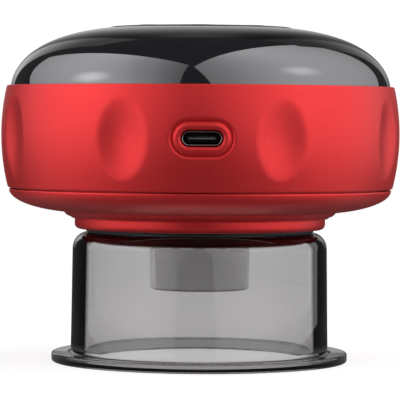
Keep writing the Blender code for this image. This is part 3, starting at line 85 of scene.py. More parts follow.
class Tree:
    """A node tree being wired, with short calls to add and join its nodes."""

    def __init__(self, tree: bpy.types.NodeTree) -> None:
        """Takes over a tree.

        Args:
            tree: the shader or geometry tree to fill.
        """
        self.tree = tree

    def add(self, kind: str, inputs: dict | None = None, **settings: object) -> bpy.types.Node:
        """Adds a node.

        Args:
            kind: the node's type.
            inputs: values or sockets for its inputs, by name or number.
            settings: its own properties.

        Returns:
            The new node.
        """
        node = self.tree.nodes.new(kind)
        for name, value in settings.items():
            setattr(node, name, value)
        for name, value in (inputs or {}).items():
            self.feed(node.inputs[name], value)
        return node

    def feed(self, socket: Socket, value: object) -> None:
        """Gives an input a link or a value.

        Args:
            socket: the input.
            value: an output to link, or a plain value.
        """
        if isinstance(value, Socket):
            self.tree.links.new(value, socket)
        else:
            socket.default_value = value

    def math(self, operation: str, *values: object) -> Socket:
        """Adds a math node.

        Args:
            operation: its operation.
            values: its inputs, in order.

        Returns:
            Its result.
        """
        return self.add("ShaderNodeMath", dict(enumerate(values)), operation=operation).outputs[0]

    def mix(self, share: object, low: object, high: object) -> Socket:
        """Mixes two colours.

        Args:
            share: how much of the second there is.
            low: the first colour.
            high: the second colour.

        Returns:
            The mixed colour.
        """
        node = self.add("ShaderNodeMix", {0: share, 6: low, 7: high}, data_type="RGBA")
        return node.outputs[2]

    def noise(self, place: object, scale: float, detail: float = 3.0) -> Socket:
        """Adds a noise texture.

        Args:
            place: the coordinates.
            scale: its waves per metre.
            detail: its octaves.

        Returns:
            Its value, about 0.5.
        """
        node = self.add("ShaderNodeTexNoise", {"Vector": place, "Scale": scale, "Detail": detail})
        return node.outputs[0]

    def spread(self, value: object, middle: float, reach: float) -> Socket:
        """Turns a noise about 0.5 into a value about a middle.

        Args:
            value: the noise.
            middle: the value where the noise is 0.5.
            reach: how far it goes at the noise's ends.

        Returns:
            The value.
        """
        return self.ramp(value, 0.25, 0.75, middle - reach, middle + reach, "LINEAR")

    def ramp(self, value: object, start: float, end: float, low: float, high: float,
             blend: str = "SMOOTHSTEP") -> Socket:
        """Carries a value from one range into another, and holds it beyond the ends.

        Args:
            value: the value.
            start: the value that gives the first result.
            end: the value that gives the last.
            low: the first result.
            high: the last.
            blend: the kind of step between them.

        Returns:
            The result.
        """
        return self.add("ShaderNodeMapRange", {
            "Value": value, "From Min": start, "From Max": end, "To Min": low, "To Max": high},
            interpolation_type=blend).outputs[0]

    def vector(self, operation: str, *values: object) -> Socket:
        """A vector math node's result. Takes its operation and its inputs."""
        node = self.add("ShaderNodeVectorMath", dict(enumerate(values)), operation=operation)
        return node.outputs["Value" if operation in ("LENGTH", "DOT_PRODUCT") else 0]

    def seen(self) -> Socket:
        """1 for what the camera sees, also through glass, and 0 for all other light."""
        rays = self.add("ShaderNodeLightPath").outputs
        return self.math("MINIMUM", 1.0, self.math("ADD", rays["Is Camera Ray"],
                                                   rays["Is Transmission Ray"]))


BUILT: dict[str, bpy.types.Material] = {}


def rgba(colour: Colour) -> tuple[float, float, float, float]:
    """A colour with its alpha."""
    return (*colour, 1.0)


# Finishes


@dataclass(frozen=True)
class Finish:
    """A moulded or painted finish, with a fine grain, a slow change of tone, and a painted highlight on its
    sharp edges.

    Attributes:
        name: the material's name.
        colour: its main colour.
        shade: the colour that its slow mottling leans to.
        roughness: its mean roughness.
        sheen_drift: how far the roughness wanders.
        metallic: how metallic it is.
        ior: its index of refraction.
        grain: waves of the fine grain per metre.
        relief: height of the grain in millimetres.
        mottle: waves of the slow mottling per metre.
        coat: weight of a clear coat.
        coat_roughness: roughness of that coat.
        painted_edge_highlight: how much lighter sharp edges are painted, as a painted highlight.
        glancing: the tint of what it reflects at a glancing angle.
    """

    name: str
    colour: Colour
    shade: Colour
    roughness: float
    sheen_drift: float = 0.03
    metallic: float = 0.0
    ior: float = 1.5
    grain: float = 1600.0
    relief: float = 0.004
    mottle: float = 60.0
    coat: float = 0.0
    coat_roughness: float = 0.1
    painted_edge_highlight: float = 0.0
    glancing: Colour = (1.0, 1.0, 1.0)

    def build(self) -> bpy.types.Material:
        """Makes the material, or finds it if it has been made.

        Returns:
            The material.
        """
        if self.name in BUILT:
            return BUILT[self.name]
        made = bpy.data.materials.new(f"{self.name}_finish")
        BUILT[self.name] = made
        made.use_nodes = True
        tree = Tree(made.node_tree)
        shader = made.node_tree.nodes["Principled BSDF"]
        place = tree.add("ShaderNodeTexCoord").outputs["Object"]
        for name, value in (("Metallic", self.metallic), ("IOR", self.ior), ("Coat Weight", self.coat),
                            ("Coat Roughness", self.coat_roughness)):
            shader.inputs[name].default_value = value
        shader.inputs["Specular Tint"].default_value = rgba(self.glancing)
        tree.feed(shader.inputs["Base Color"], self.tone(tree, place))
        slow = tree.noise(place, self.mottle * 2.3, 4.0)
        tree.feed(shader.inputs["Roughness"], tree.spread(slow, self.roughness, self.sheen_drift))
        bump = tree.add("ShaderNodeBump", {"Height": self.height(tree, place), "Strength": 1.0,
                                           "Distance": self.relief * MM})
        tree.feed(shader.inputs["Normal"], bump.outputs[0])
        self.depth(tree, shader)
        return made

    def tone(self, tree: Tree, place: Socket) -> Socket:
        """The colour over the surface.

        Args:
            tree: the material's tree.
            place: the object's coordinates.

        Returns:
            The colour.
        """
        share = tree.spread(tree.noise(place, self.mottle), 0.5, 0.5)
        colour = tree.mix(share, rgba(self.colour), rgba(self.shade))
        # painted highlight: the colour is painted lighter on sharp convex edges
        if self.painted_edge_highlight:
            edge = tree.ramp(tree.add("ShaderNodeNewGeometry").outputs["Pointiness"],
                             0.52, 0.62, 0.0, self.painted_edge_highlight, "LINEAR")
            lighter = tuple(min(1.0, part * 1.25 + 0.02) for part in self.colour)
            colour = tree.mix(edge, colour, rgba(lighter))
        return colour

    def height(self, tree: Tree, place: Socket) -> Socket:
        """The grain's height. Takes the tree and the coordinates, returns a value."""
        return tree.noise(place, self.grain, 2.0)

    def depth(self, tree: Tree, shader: bpy.types.Node) -> None:
        """What light does inside the piece: nothing here. Takes the tree and the shader."""


@dataclass(frozen=True)
class ClearFinish(Finish):
    """A clear or smoked moulding, which absorbs light along its way through.

    Attributes:
        absorption: absorption per metre.
        tint: the colour that it lets through best.
        clearness: weight of transmission.
        painted_rim_shade: how far the colour let through is painted black at a turned wall's edges, as
            painted shade where light bends along the wall.
        painted_rim_start: how far the wall must lean from the eye for that painted shade, from 0 to 1.
        wall: the least and the most radius of that wall's outer face, in millimetres, where the shade is
            painted.
    """

    absorption: float = 100.0
    tint: Colour = (0.5, 0.5, 0.5)
    clearness: float = 1.0
    painted_rim_shade: float = 0.0
    painted_rim_start: float = 0.5
    wall: Point = (28.2, 30.9)

    def tone(self, tree: Tree, place: Socket) -> Socket:
        """The colour let through, painted darker as painted shade where the wall is seen edge on. Takes the
        tree and the place.
        """
        base = Finish.tone(self, tree, place)
        if not self.painted_rim_shade:
            return base
        # painted shade: the colour let through is painted black where a turned wall is seen edge on, in
        # place of the light that bends along the wall
        facing = tree.add("ShaderNodeLayerWeight", {"Blend": 0.5}).outputs["Facing"]
        share = tree.ramp(facing, self.painted_rim_start, self.painted_rim_start + 0.05, 0.0, self.painted_rim_shade)
        radius = tree.vector("LENGTH", tree.vector("MULTIPLY", place, (1.0, 1.0, 0.0)))
        for side, limit in (("GREATER_THAN", self.wall[0]), ("LESS_THAN", self.wall[1])):
            share = tree.math("MULTIPLY", share, tree.math(side, radius, limit * MM))
        return tree.mix(share, base, rgba((0.0, 0.0, 0.0)))

    def depth(self, tree: Tree, shader: bpy.types.Node) -> None:
        """Adds transmission and absorption. Takes the tree and the shader."""
        shader.inputs["Transmission Weight"].default_value = self.clearness
        if self.absorption:
            inside = tree.add("ShaderNodeVolumeAbsorption", {"Color": rgba(self.tint),
                                                             "Density": self.absorption})
            output = next(node for node in tree.tree.nodes if node.type == "OUTPUT_MATERIAL")
            tree.tree.links.new(inside.outputs[0], output.inputs["Volume"])


@dataclass(frozen=True)
class FlakeFinish(Finish):
    """A metallic paint: fine flakes, some a little lighter than others, under a satin clear coat.

    Attributes:
        flake: waves of the flakes per metre.
        sparkle: how much lighter a flake may be.
    """

    flake: float = 3600.0
    sparkle: float = 0.25

    def tone(self, tree: Tree, place: Socket) -> Socket:
        """The paint's colour with its flakes. Takes the tree and the coordinates."""
        base = Finish.tone(self, tree, place)
        cells = tree.add("ShaderNodeTexVoronoi", {"Vector": place, "Scale": self.flake})
        grey = tree.add("ShaderNodeSeparateColor", {0: cells.outputs["Color"]}).outputs[0]
        bright = tuple(min(1.0, part * 1.3 + 0.01) for part in self.colour)
        return tree.mix(tree.math("MULTIPLY", grey, self.sparkle), base, rgba(bright))


@dataclass(frozen=True)
class WrappedFinish(Finish):
    """Wire wound round, or metal brushed round, the piece: fine bands along one axis.

    Attributes:
        along: the axis that the bands follow each other on.
        pitch: the width of a band in millimetres.
    """

    along: int = 2
    pitch: float = 0.3

    def height(self, tree: Tree, place: Socket) -> Socket:
        """Bands along the axis. Takes the tree and the coordinates, returns a value."""
        part = tree.add("ShaderNodeSeparateXYZ", {0: place}).outputs[self.along]
        wave = tree.math("SINE", tree.math("MULTIPLY", part, TURN / (self.pitch * MM)))
        blur = tree.noise(place, self.grain)
        return tree.math("ADD", tree.math("MULTIPLY", wave, 0.5), blur)


@dataclass(frozen=True)
class BoardFinish(Finish):
    """A circuit board: lacquer over tracks and pads.

    Attributes:
        track: the tracks' spacing in millimetres.
        copper: the colour of lacquer over copper.
    """

    track: float = 1.3
    copper: Colour = (0.03, 0.24, 0.11)

    def tracks(self, tree: Tree, place: Socket) -> Socket:
        """1 on a track and 0 off it. Takes the tree and the coordinates, returns a value."""
        bricks = tree.add("ShaderNodeTexBrick", {
            "Vector": place, "Scale": 1.0 / (self.track * 4 * MM), "Mortar Size": 0.055,
            "Brick Width": 1.7, "Row Height": 0.25, "Color1": rgba((0, 0, 0)),
            "Color2": rgba((0, 0, 0)), "Mortar": rgba((1, 1, 1))})
        return bricks.outputs[0]

    def tone(self, tree: Tree, place: Socket) -> Socket:
        """The lacquer's colour. Takes the tree and the coordinates."""
        return tree.mix(self.tracks(tree, place), Finish.tone(self, tree, place), rgba(self.copper))

    def height(self, tree: Tree, place: Socket) -> Socket:
        """The tracks' height. Takes the tree and the coordinates, returns a value."""
        return self.tracks(tree, place)


# the red paint has a painted highlight on its sharp edges
RED_SATIN = FlakeFinish(
    "red_satin", (0.82, 0.042, 0.044), (0.78, 0.037, 0.040), 0.45, 0.03, metallic=0.8, ior=1.45,
    grain=2400, relief=0.0035, mottle=35, coat=0.06, coat_roughness=0.28, painted_edge_highlight=0.3,
    glancing=(0.5, 1.0, 1.0))
# painted shade: the cup wall's edge-on bands are painted black
SMOKED_PLASTIC = ClearFinish(
    "smoked_plastic", (1.0, 1.0, 1.0), (0.985, 0.985, 0.985), 0.012, 0.008, ior=1.49, grain=240,
    relief=0.0006, mottle=90, absorption=138.0, tint=(0.02, 0.0, 0.0), painted_rim_shade=1.0, painted_rim_start=0.5)
LENS_SMOKE = ClearFinish(
    "lens_smoke", (1.0, 1.0, 1.0), (0.97, 0.97, 0.97), 0.06, 0.02, ior=1.49, grain=500,
    relief=0.001, mottle=120, absorption=46.0, tint=(0.03, 0.0, 0.0))
BLACK_GLOSS = Finish(
    "black_gloss", (0.003, 0.003, 0.006), (0.005, 0.005, 0.008), 0.03, 0.01, ior=2.58,
    grain=420, relief=0.0004, mottle=50)
BLACK_PANEL = Finish(
    "black_panel", (0.005, 0.005, 0.006), (0.009, 0.009, 0.010), 0.07, 0.02, ior=1.6,
    grain=700, relief=0.0006, mottle=80)
BLACK_RUBBER = Finish(
    "black_rubber", (0.014, 0.014, 0.015), (0.022, 0.021, 0.021), 0.55, 0.06, grain=2600,
    relief=0.02, mottle=140)
CLEAR_RUBBER = ClearFinish(
    "clear_rubber", (0.93, 0.92, 0.88), (0.88, 0.87, 0.82), 0.22, 0.06, ior=1.41, grain=1200,
    relief=0.006, mottle=160, absorption=60.0, tint=(0.85, 0.83, 0.75), clearness=0.75)
WHITE_PLASTIC = Finish(
    "white_plastic", (0.74, 0.74, 0.71), (0.68, 0.67, 0.63), 0.42, 0.05, grain=2200, relief=0.01)
BLACK_PLASTIC = Finish(
    "black_plastic", (0.028, 0.028, 0.030), (0.040, 0.039, 0.038), 0.45, 0.07, grain=2600,
    relief=0.02, mottle=120)
CIRCUIT_BOARD = BoardFinish(
    "circuit_board", (0.012, 0.12, 0.055), (0.010, 0.10, 0.050), 0.32, 0.05, relief=0.03)
# painted shade: a darker copy of black plastic for the tongue, which sits deep in the shade of the socket
SHADED_SOCKET_BLACK = Finish(
    "socket_black", (0.005, 0.005, 0.006), (0.008, 0.008, 0.008), 0.3, 0.05, grain=2600,
    relief=0.004, mottle=300)
# painted shade: a darker copy of steel for the socket, which sits in the shade of the bezel's hole
SHADED_SOCKET_STEEL = Finish(
    "socket_steel", (0.40, 0.40, 0.41), (0.32, 0.32, 0.33), 0.28, 0.05, metallic=1.0, grain=3000,
    relief=0.004, mottle=300)
STEEL = Finish(
    "steel", (0.60, 0.60, 0.61), (0.50, 0.50, 0.51), 0.27, 0.07, metallic=1.0, grain=3000,
    relief=0.006, mottle=220)
CAN_STEEL = WrappedFinish(
    "can_steel", (0.62, 0.62, 0.62), (0.53, 0.53, 0.54), 0.26, 0.06, metallic=1.0, grain=1500,
    relief=0.006, mottle=90, along=0, pitch=0.22)
MAGNET = Finish(
    "magnet", (0.20, 0.20, 0.21), (0.13, 0.13, 0.14), 0.38, 0.08, metallic=0.9, grain=1800,
    relief=0.02, mottle=260)
ALUMINIUM = Finish(
    "aluminium", (0.78, 0.78, 0.80), (0.70, 0.70, 0.72), 0.3, 0.06, metallic=1.0, grain=2600,
    relief=0.008, mottle=150)
COPPER = WrappedFinish(
    "copper", (0.72, 0.36, 0.20), (0.58, 0.26, 0.13), 0.28, 0.07, metallic=1.0, grain=1300,
    relief=0.05, mottle=300, along=0, pitch=0.35)
RED_LAMP = ClearFinish(
    "red_lamp", (0.80, 0.05, 0.04), (0.66, 0.03, 0.03), 0.12, 0.03, ior=1.52, grain=900,
    relief=0.003, mottle=400, absorption=0.0, clearness=0.35)
CELL_WRAP = Finish(
    "cell_wrap", (0.045, 0.20, 0.50), (0.03, 0.15, 0.42), 0.3, 0.06, grain=700, relief=0.02,
    mottle=130, coat=0.4, coat_roughness=0.15)
GOLD = Finish(
    "gold_contact", (0.86, 0.62, 0.26), (0.74, 0.50, 0.20), 0.22, 0.06, metallic=1.0, grain=2600,
    relief=0.004, mottle=700)
PRINT_GREY = Finish(
    "print_grey", (0.52, 0.53, 0.54), (0.44, 0.45, 0.46), 0.4, 0.05, grain=3000, relief=0.004,
    mottle=300)
UNLIT_SEGMENT = Finish(
    "unlit_segment", (0.028, 0.026, 0.026), (0.020, 0.019, 0.019), 0.2, 0.05, grain=1500,
    relief=0.002, mottle=300)

NODE_FINISHES: dict[str, Finish] = {
    finish.name: finish for finish in (
        RED_SATIN, SMOKED_PLASTIC, LENS_SMOKE, BLACK_GLOSS, BLACK_PANEL, BLACK_RUBBER, CLEAR_RUBBER,
        WHITE_PLASTIC, BLACK_PLASTIC, CIRCUIT_BOARD, STEEL, MAGNET, ALUMINIUM, COPPER, RED_LAMP,
        CELL_WRAP)}


# Shapes


def round_off(corners: Sequence[Corner], steps: int = 7) -> list[Point]:
    """Rounds the corners of a closed outline.

    Args:
        corners: (across, up, rounding) of each corner, in millimetres.
        steps: facets of each rounding.

    Returns:
        The outline's points, in millimetres.
    """
    points: list[Point] = []
    count = len(corners)
    for i, (x, y, rounding) in enumerate(corners):
        here = Vector((x, y))
        to_last = Vector(corners[i - 1][:2]) - here
        to_next = Vector(corners[(i + 1) % count][:2]) - here
        if not rounding or not to_last.length or not to_next.length:
            points.append((x, y))
            continue
        half = to_last.angle(to_next) / 2
        reach = min(rounding / math.tan(half), 0.49 * to_last.length, 0.49 * to_next.length)
        start, end = here + to_last.normalized() * reach, here + to_next.normalized() * reach
        middle = (to_last.normalized() + to_next.normalized()).normalized()
        centre = here + middle * (reach / math.cos(half))
        first, last = start - centre, end - centre
        sweep = first.angle_signed(last)
        for step in range(steps + 1):
            turned = Matrix.Rotation(-sweep * step / steps, 2) @ first
            points.append(tuple(centre + turned))
    return points


def arc(centre: Point, radius: float, start: float, end: float, steps: int) -> list[Point]:
    """Points of an arc.

    Args:
        centre: its middle.
        radius: its radius.
        start: its first angle in radians.
        end: its last angle.
        steps: its facets.

    Returns:
        The points.
    """
    return [(centre[0] + radius * math.cos(start + (end - start) * i / steps),
             centre[1] + radius * math.sin(start + (end - start) * i / steps)) for i in range(steps + 1)]


def smooth(mesh: bpy.types.Mesh, name: str, material: bpy.types.Material, crease: float) -> None:
    """Names a mesh, smooths it but for its creases, and gives it its one material.

    Args:
        mesh: the mesh.
        name: its name.
        material: its material.
        crease: the angle in degrees above which an edge stays sharp.
    """
    mesh.name = name
    mesh.shade_smooth()
    mesh.set_sharp_from_angle(angle=math.radians(crease))
    mesh.materials.clear()
    mesh.materials.append(material)


def bridge(sheet: Sheet, loops: Sequence[Sequence[bmesh.types.BMVert]], closed: bool) -> None:
    """Joins loops of points by faces, each to the next.

    Args:
        sheet: the sheet that they are in.
        loops: the loops, all of one length.
        closed: whether the last is joined to the first, instead of both being filled.
    """
    if not closed:
        sheet.faces.new(loops[0])
        sheet.faces.new(loops[-1])
    for low, high in zip(loops, loops[1:] + (loops[:1] if closed else [])):
        for i in range(len(low)):
            j = (i + 1) % len(low)
            corners = list(dict.fromkeys((low[i], low[j], high[j], high[i])))
            if len(corners) > 2:
                sheet.faces.new(corners)


def as_piece(name: str, sheet: Sheet, finish: Finish, crease: float = 40.0,
             outward: bool = True) -> Piece:
    """Makes an object of a finished sheet.

    Args:
        name: the object's name.
        sheet: its shape in metres, which is freed.
        finish: its finish.
        crease: the angle in degrees above which an edge stays sharp.
        outward: whether its faces are first turned to point out.

    Returns:
        The object.
    """
    bmesh.ops.remove_doubles(sheet, verts=sheet.verts, dist=1e-7)
    if outward:
        bmesh.ops.recalc_face_normals(sheet, faces=sheet.faces)
    mesh = bpy.data.meshes.new(name)
    sheet.to_mesh(mesh)
    sheet.free()
    return as_object(name, mesh, finish, crease)


def as_object(name: str, mesh: bpy.types.Mesh, finish: Finish, crease: float = 40.0) -> Piece:
    """Puts a mesh in the scene, smooth but for its creases.

    Args:
        name: the object's name.
        mesh: its mesh.
        finish: its finish.
        crease: the angle in degrees above which an edge stays sharp.

    Returns:
        The object.
    """
    smooth(mesh, name, finish.build(), crease)
    obj = bpy.data.objects.new(name, mesh)
    bpy.context.scene.collection.objects.link(obj)
    return obj


def turned(name: str, profile: Sequence[Point], finish: Finish, steps: int = 240,
           place: Point = (0.0, 0.0), crease: float = 40.0) -> Piece:
    """Turns a closed profile round an upright axis.

    Args:
        name: the object's name.
        profile: its (radius, height) points in millimetres.
        finish: its finish.
        steps: facets round the axis.
        place: the axis's place across the object.
        crease: the angle in degrees above which an edge stays sharp.

    Returns:
        The object.
    """
    sheet = bmesh.new()
    rings = []
    for radius, height in profile:
        if radius < 1e-6:
            pole = sheet.verts.new((place[0] * MM, place[1] * MM, height * MM))
            rings.append([pole] * steps)
            continue
        rings.append([sheet.verts.new((
            (place[0] + radius * math.cos(TURN * i / steps)) * MM,
            (place[1] + radius * math.sin(TURN * i / steps)) * MM, height * MM)) for i in range(steps)])
    bridge(sheet, rings, True)
    return as_piece(name, sheet, finish, crease)


def tool(profile: Sequence[Point], place: Point, steps: int = 48) -> Piece:
    """A turned cutter or filler. Takes its profile in millimetres, its place and its facets."""
    return turned("tool", profile, STEEL, steps, place)


def bored(radius: float, low: float, high: float) -> list[Point]:
    """The profile of a plain rod. Takes its radius and its two heights."""
    return [(0, high), (radius, high), (radius, low), (0, low)]


def box(name: str, middle: Corner, size: Corner) -> Piece:
    """A plain steel box, or a cutter. Takes its name, its middle and its size in millimetres."""
    sheet = bmesh.new()
    bmesh.ops.create_cube(sheet, size=MM, matrix=Matrix.Translation(Vector(middle) * MM)
                          @ Matrix.Diagonal((*size, 1.0)))
    return as_piece(name, sheet, STEEL)


def places_on_ring(circle: float, count: int, lead: float) -> list[Point]:
    """Places on a ring. Takes its radius, how many, and how many steps past +X the first stands."""
    angles = [TURN * (i + lead) / count for i in range(count)]
    return [(circle * math.cos(angle), circle * math.sin(angle)) for angle in angles]


def carved(piece: Piece, cuts: Sequence[Piece] = (), adds: Sequence[Piece] = (),
           crease: float = 40.0) -> Piece:
    """Adds fillers to a piece, cuts tools out of it, and makes the result plain.

    Args:
        piece: the piece.
        cuts: the tools to cut out, which are removed.
        adds: the fillers to add first, which are removed.
        crease: the angle in degrees above which an edge stays sharp.

    Returns:
        The piece.
    """
    for operation, tools in (("UNION", adds), ("DIFFERENCE", cuts)):
        for other in tools:
            step = piece.modifiers.new("cut", "BOOLEAN")
            step.operation, step.object, step.solver = operation, other, "EXACT"
    return plain(piece, crease, [*adds, *cuts])


def plain(piece: Piece, crease: float = 40.0, tools: Sequence[Piece] = ()) -> Piece:
    """Replaces a piece's mesh by its evaluated one, and drops its modifiers and tools.

    Args:
        piece: the piece.
        crease: the angle in degrees above which an edge stays sharp.
        tools: the objects that it no longer needs.

    Returns:
        The piece.
    """
    bpy.context.view_layer.update()
    graph = bpy.context.evaluated_depsgraph_get()
    mesh = bpy.data.meshes.new_from_object(piece.evaluated_get(graph))
    piece.modifiers.clear()
    old, piece.data = piece.data, mesh
    smooth(mesh, piece.name, old.materials[0], crease)
    bpy.data.meshes.remove(old)
    for other in tools:
        spare = other.data
        bpy.data.objects.remove(other)
        bpy.data.meshes.remove(spare)
    return piece


def settle(piece: Piece, body: Body, slot: str, *nodes: str) -> None:
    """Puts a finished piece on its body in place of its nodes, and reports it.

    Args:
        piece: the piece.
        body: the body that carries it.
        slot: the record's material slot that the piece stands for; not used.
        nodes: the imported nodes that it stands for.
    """
    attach(piece, body.value)
    if nodes:
        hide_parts(*nodes)
    log.info("%s: %d faces on %s, for %s", piece.name, len(piece.data.polygons), body.value,
             ", ".join(nodes) or "no node")


def flat_stroke(sheet: Sheet, path: Sequence[Point], width: float, base: float, top: float,
                bend: float = 0.0) -> None:
    """Adds a flat stroke with round ends to a sheet.

    Args:
        sheet: the sheet.
        path: the middle of the stroke, in millimetres.
        width: its width.
        base: the height of its underside.
        top: the height of its face.
        bend: how many millimetres the ends' rounding is deep, half the width if 0.
    """
    half = width / 2
    cap = bend or half
    points = [Vector(point) for point in path]
    left, right = [], []
    for i, point in enumerate(points):
        ahead = (points[min(i + 1, len(points) - 1)] - points[max(i - 1, 0)]).normalized()
        side = Vector((-ahead.y, ahead.x)) * half
        left.append(point + side)
        right.append(point - side)
    first = (points[1] - points[0]).normalized()
    last = (points[-1] - points[-2]).normalized()
    outline = left
    for middle, ahead in ((points[-1], last), (points[0], -first)):
        side = Vector((-ahead.y, ahead.x))
        cap_points = [middle + ahead * cap * math.sin(t) + side * half * math.cos(t)
                      for t in (math.pi * i / 6 for i in range(1, 6))]
        outline = outline + cap_points + (right[::-1] if middle is points[-1] else [])
    bridge(sheet, [[sheet.verts.new((p.x * MM, p.y * MM, height * MM)) for p in outline]
                   for height in (top, base)], False)


def grown(name: str, mesh: bpy.types.Mesh, finish: Finish, inputs: Sequence[tuple[str, str, object]],
          wire: Callable[[Tree, Outputs], Socket], crease: float = 40.0,
          tools: Sequence[Piece] = ()) -> Piece:
    """Makes a piece by a node tree with named inputs, and makes the result plain.

    Args:
        name: the piece's name.
        mesh: the mesh that the tree starts from.
        finish: the piece's finish.
        inputs: each input's name, its type and its value.
        wire: adds the nodes that make the shape: it takes the tree and its inputs, and returns the shape.
        crease: the angle in degrees above which an edge stays sharp.
        tools: the objects that the tree reads, which are removed.

    Returns:
        The piece.
    """
    group = bpy.data.node_groups.new(name, "GeometryNodeTree")
    group.interface.new_socket("Geometry", in_out="INPUT", socket_type="NodeSocketGeometry")
    values = {}
    for label, kind, value in (*inputs, ("Finish", "Material", finish.build())):
        made = group.interface.new_socket(label, in_out="INPUT", socket_type=f"NodeSocket{kind}")
        values[made.identifier] = value
    group.interface.new_socket("Geometry", in_out="OUTPUT", socket_type="NodeSocketGeometry")
    tree = Tree(group)
    given = tree.add("NodeGroupInput").outputs
    real = tree.add("GeometryNodeRealizeInstances", {0: wire(tree, given)}).outputs[0]
    painted = tree.add("GeometryNodeSetMaterial", {"Geometry": real, "Material": given["Finish"]})
    tree.add("NodeGroupOutput", {0: painted.outputs[0]})
    piece = as_object(name, mesh, finish)
    step = piece.modifiers.new(name, "NODES")
    step.node_group = group
    for key, value in values.items():
        step[key] = value
    return plain(piece, crease, tools)


def repeat_on_ring(name: str, original: Piece, circle: float, count: int, middle: int,
                   lead: float, finish: Finish) -> Piece:
    """Repeats a piece on a ring by Geometry Nodes, and makes the result plain.

    Args:
        name: the object's name.
        original: the piece to repeat, which is removed.
        circle: the ring's radius in millimetres.
        count: how many stand on the ring.
        middle: 1 for one more in the middle, 0 for none.
        lead: how far the first stands past +X, in steps of the ring.
        finish: the pieces' finish.

    Returns:
        The object.
    """
    def wire(tree: Tree, given: Outputs) -> Socket:
        """Stands the copies on the ring. Takes the tree and its inputs, returns the shape."""
        m = tree.math
        source = tree.add("GeometryNodeObjectInfo", {"Object": given["Piece"]}).outputs["Geometry"]
        points = tree.add("GeometryNodePoints", {"Count": m("ADD", given["Count"], given["Middle"])})
        index = tree.add("GeometryNodeInputIndex").outputs[0]
        angle = m("MULTIPLY", m("DIVIDE", m("ADD", index, given["Lead"]), given["Count"]), TURN)
        reach = m("MULTIPLY", given["Ring radius"], m("LESS_THAN", index, given["Count"]))
        place = tree.add("ShaderNodeCombineXYZ", {0: m("MULTIPLY", reach, m("COSINE", angle)),
                                                  1: m("MULTIPLY", reach, m("SINE", angle))}).outputs[0]
        moved = tree.add("GeometryNodeSetPosition", {"Geometry": points.outputs[0], "Position": place})
        return tree.add("GeometryNodeInstanceOnPoints", {"Points": moved.outputs[0],
                                                         "Instance": source}).outputs[0]

    return grown(name, bpy.data.meshes.new(name), finish, (
        ("Piece", "Object", original), ("Ring radius", "Float", circle * MM), ("Count", "Int", count),
        ("Middle", "Int", middle), ("Lead", "Float", lead)), wire, tools=[original])


# Sub-assemblies, from the skin upwards


@dataclass
class SuctionCup:
    """The smoked cup, one thick moulding with a flange."""

    height: float = 30.25
    base_radius: float = 30.1
    top_radius: float = 29.7
    wall: float = 3.6
    roof: float = 2.85
    shoulder: float = 3.8
    inner_corner: float = 0.5
    hole_radius: float = 18.4
    flange_radius: float = 34.6
    flange: float = 2.2
    fillet: float = 0.8
    flange_round: float = 0.55
    mouth_chamfer: float = 0.6

    def build(self) -> None:
        """Makes the cup."""
        inner = self.base_radius - self.wall
        ceiling = self.height - self.roof
        profile = round_off([
            (self.hole_radius, self.height, 0.25), (self.top_radius, self.height, self.shoulder),
            (self.base_radius, self.flange, self.fillet),
            (self.flange_radius, self.flange, self.flange_round),
            (self.flange_radius, 0, self.flange_round), (inner + self.mouth_chamfer, 0, 0.1),
            (inner, self.mouth_chamfer, 0.1), (self.top_radius - self.wall, ceiling, self.inner_corner),
            (self.hole_radius, ceiling, 0.25)], 10)
        settle(turned("smoked_cup", profile, SMOKED_PLASTIC, 320), Body.CUP, "smoked_plastic",
               "suction_cup")


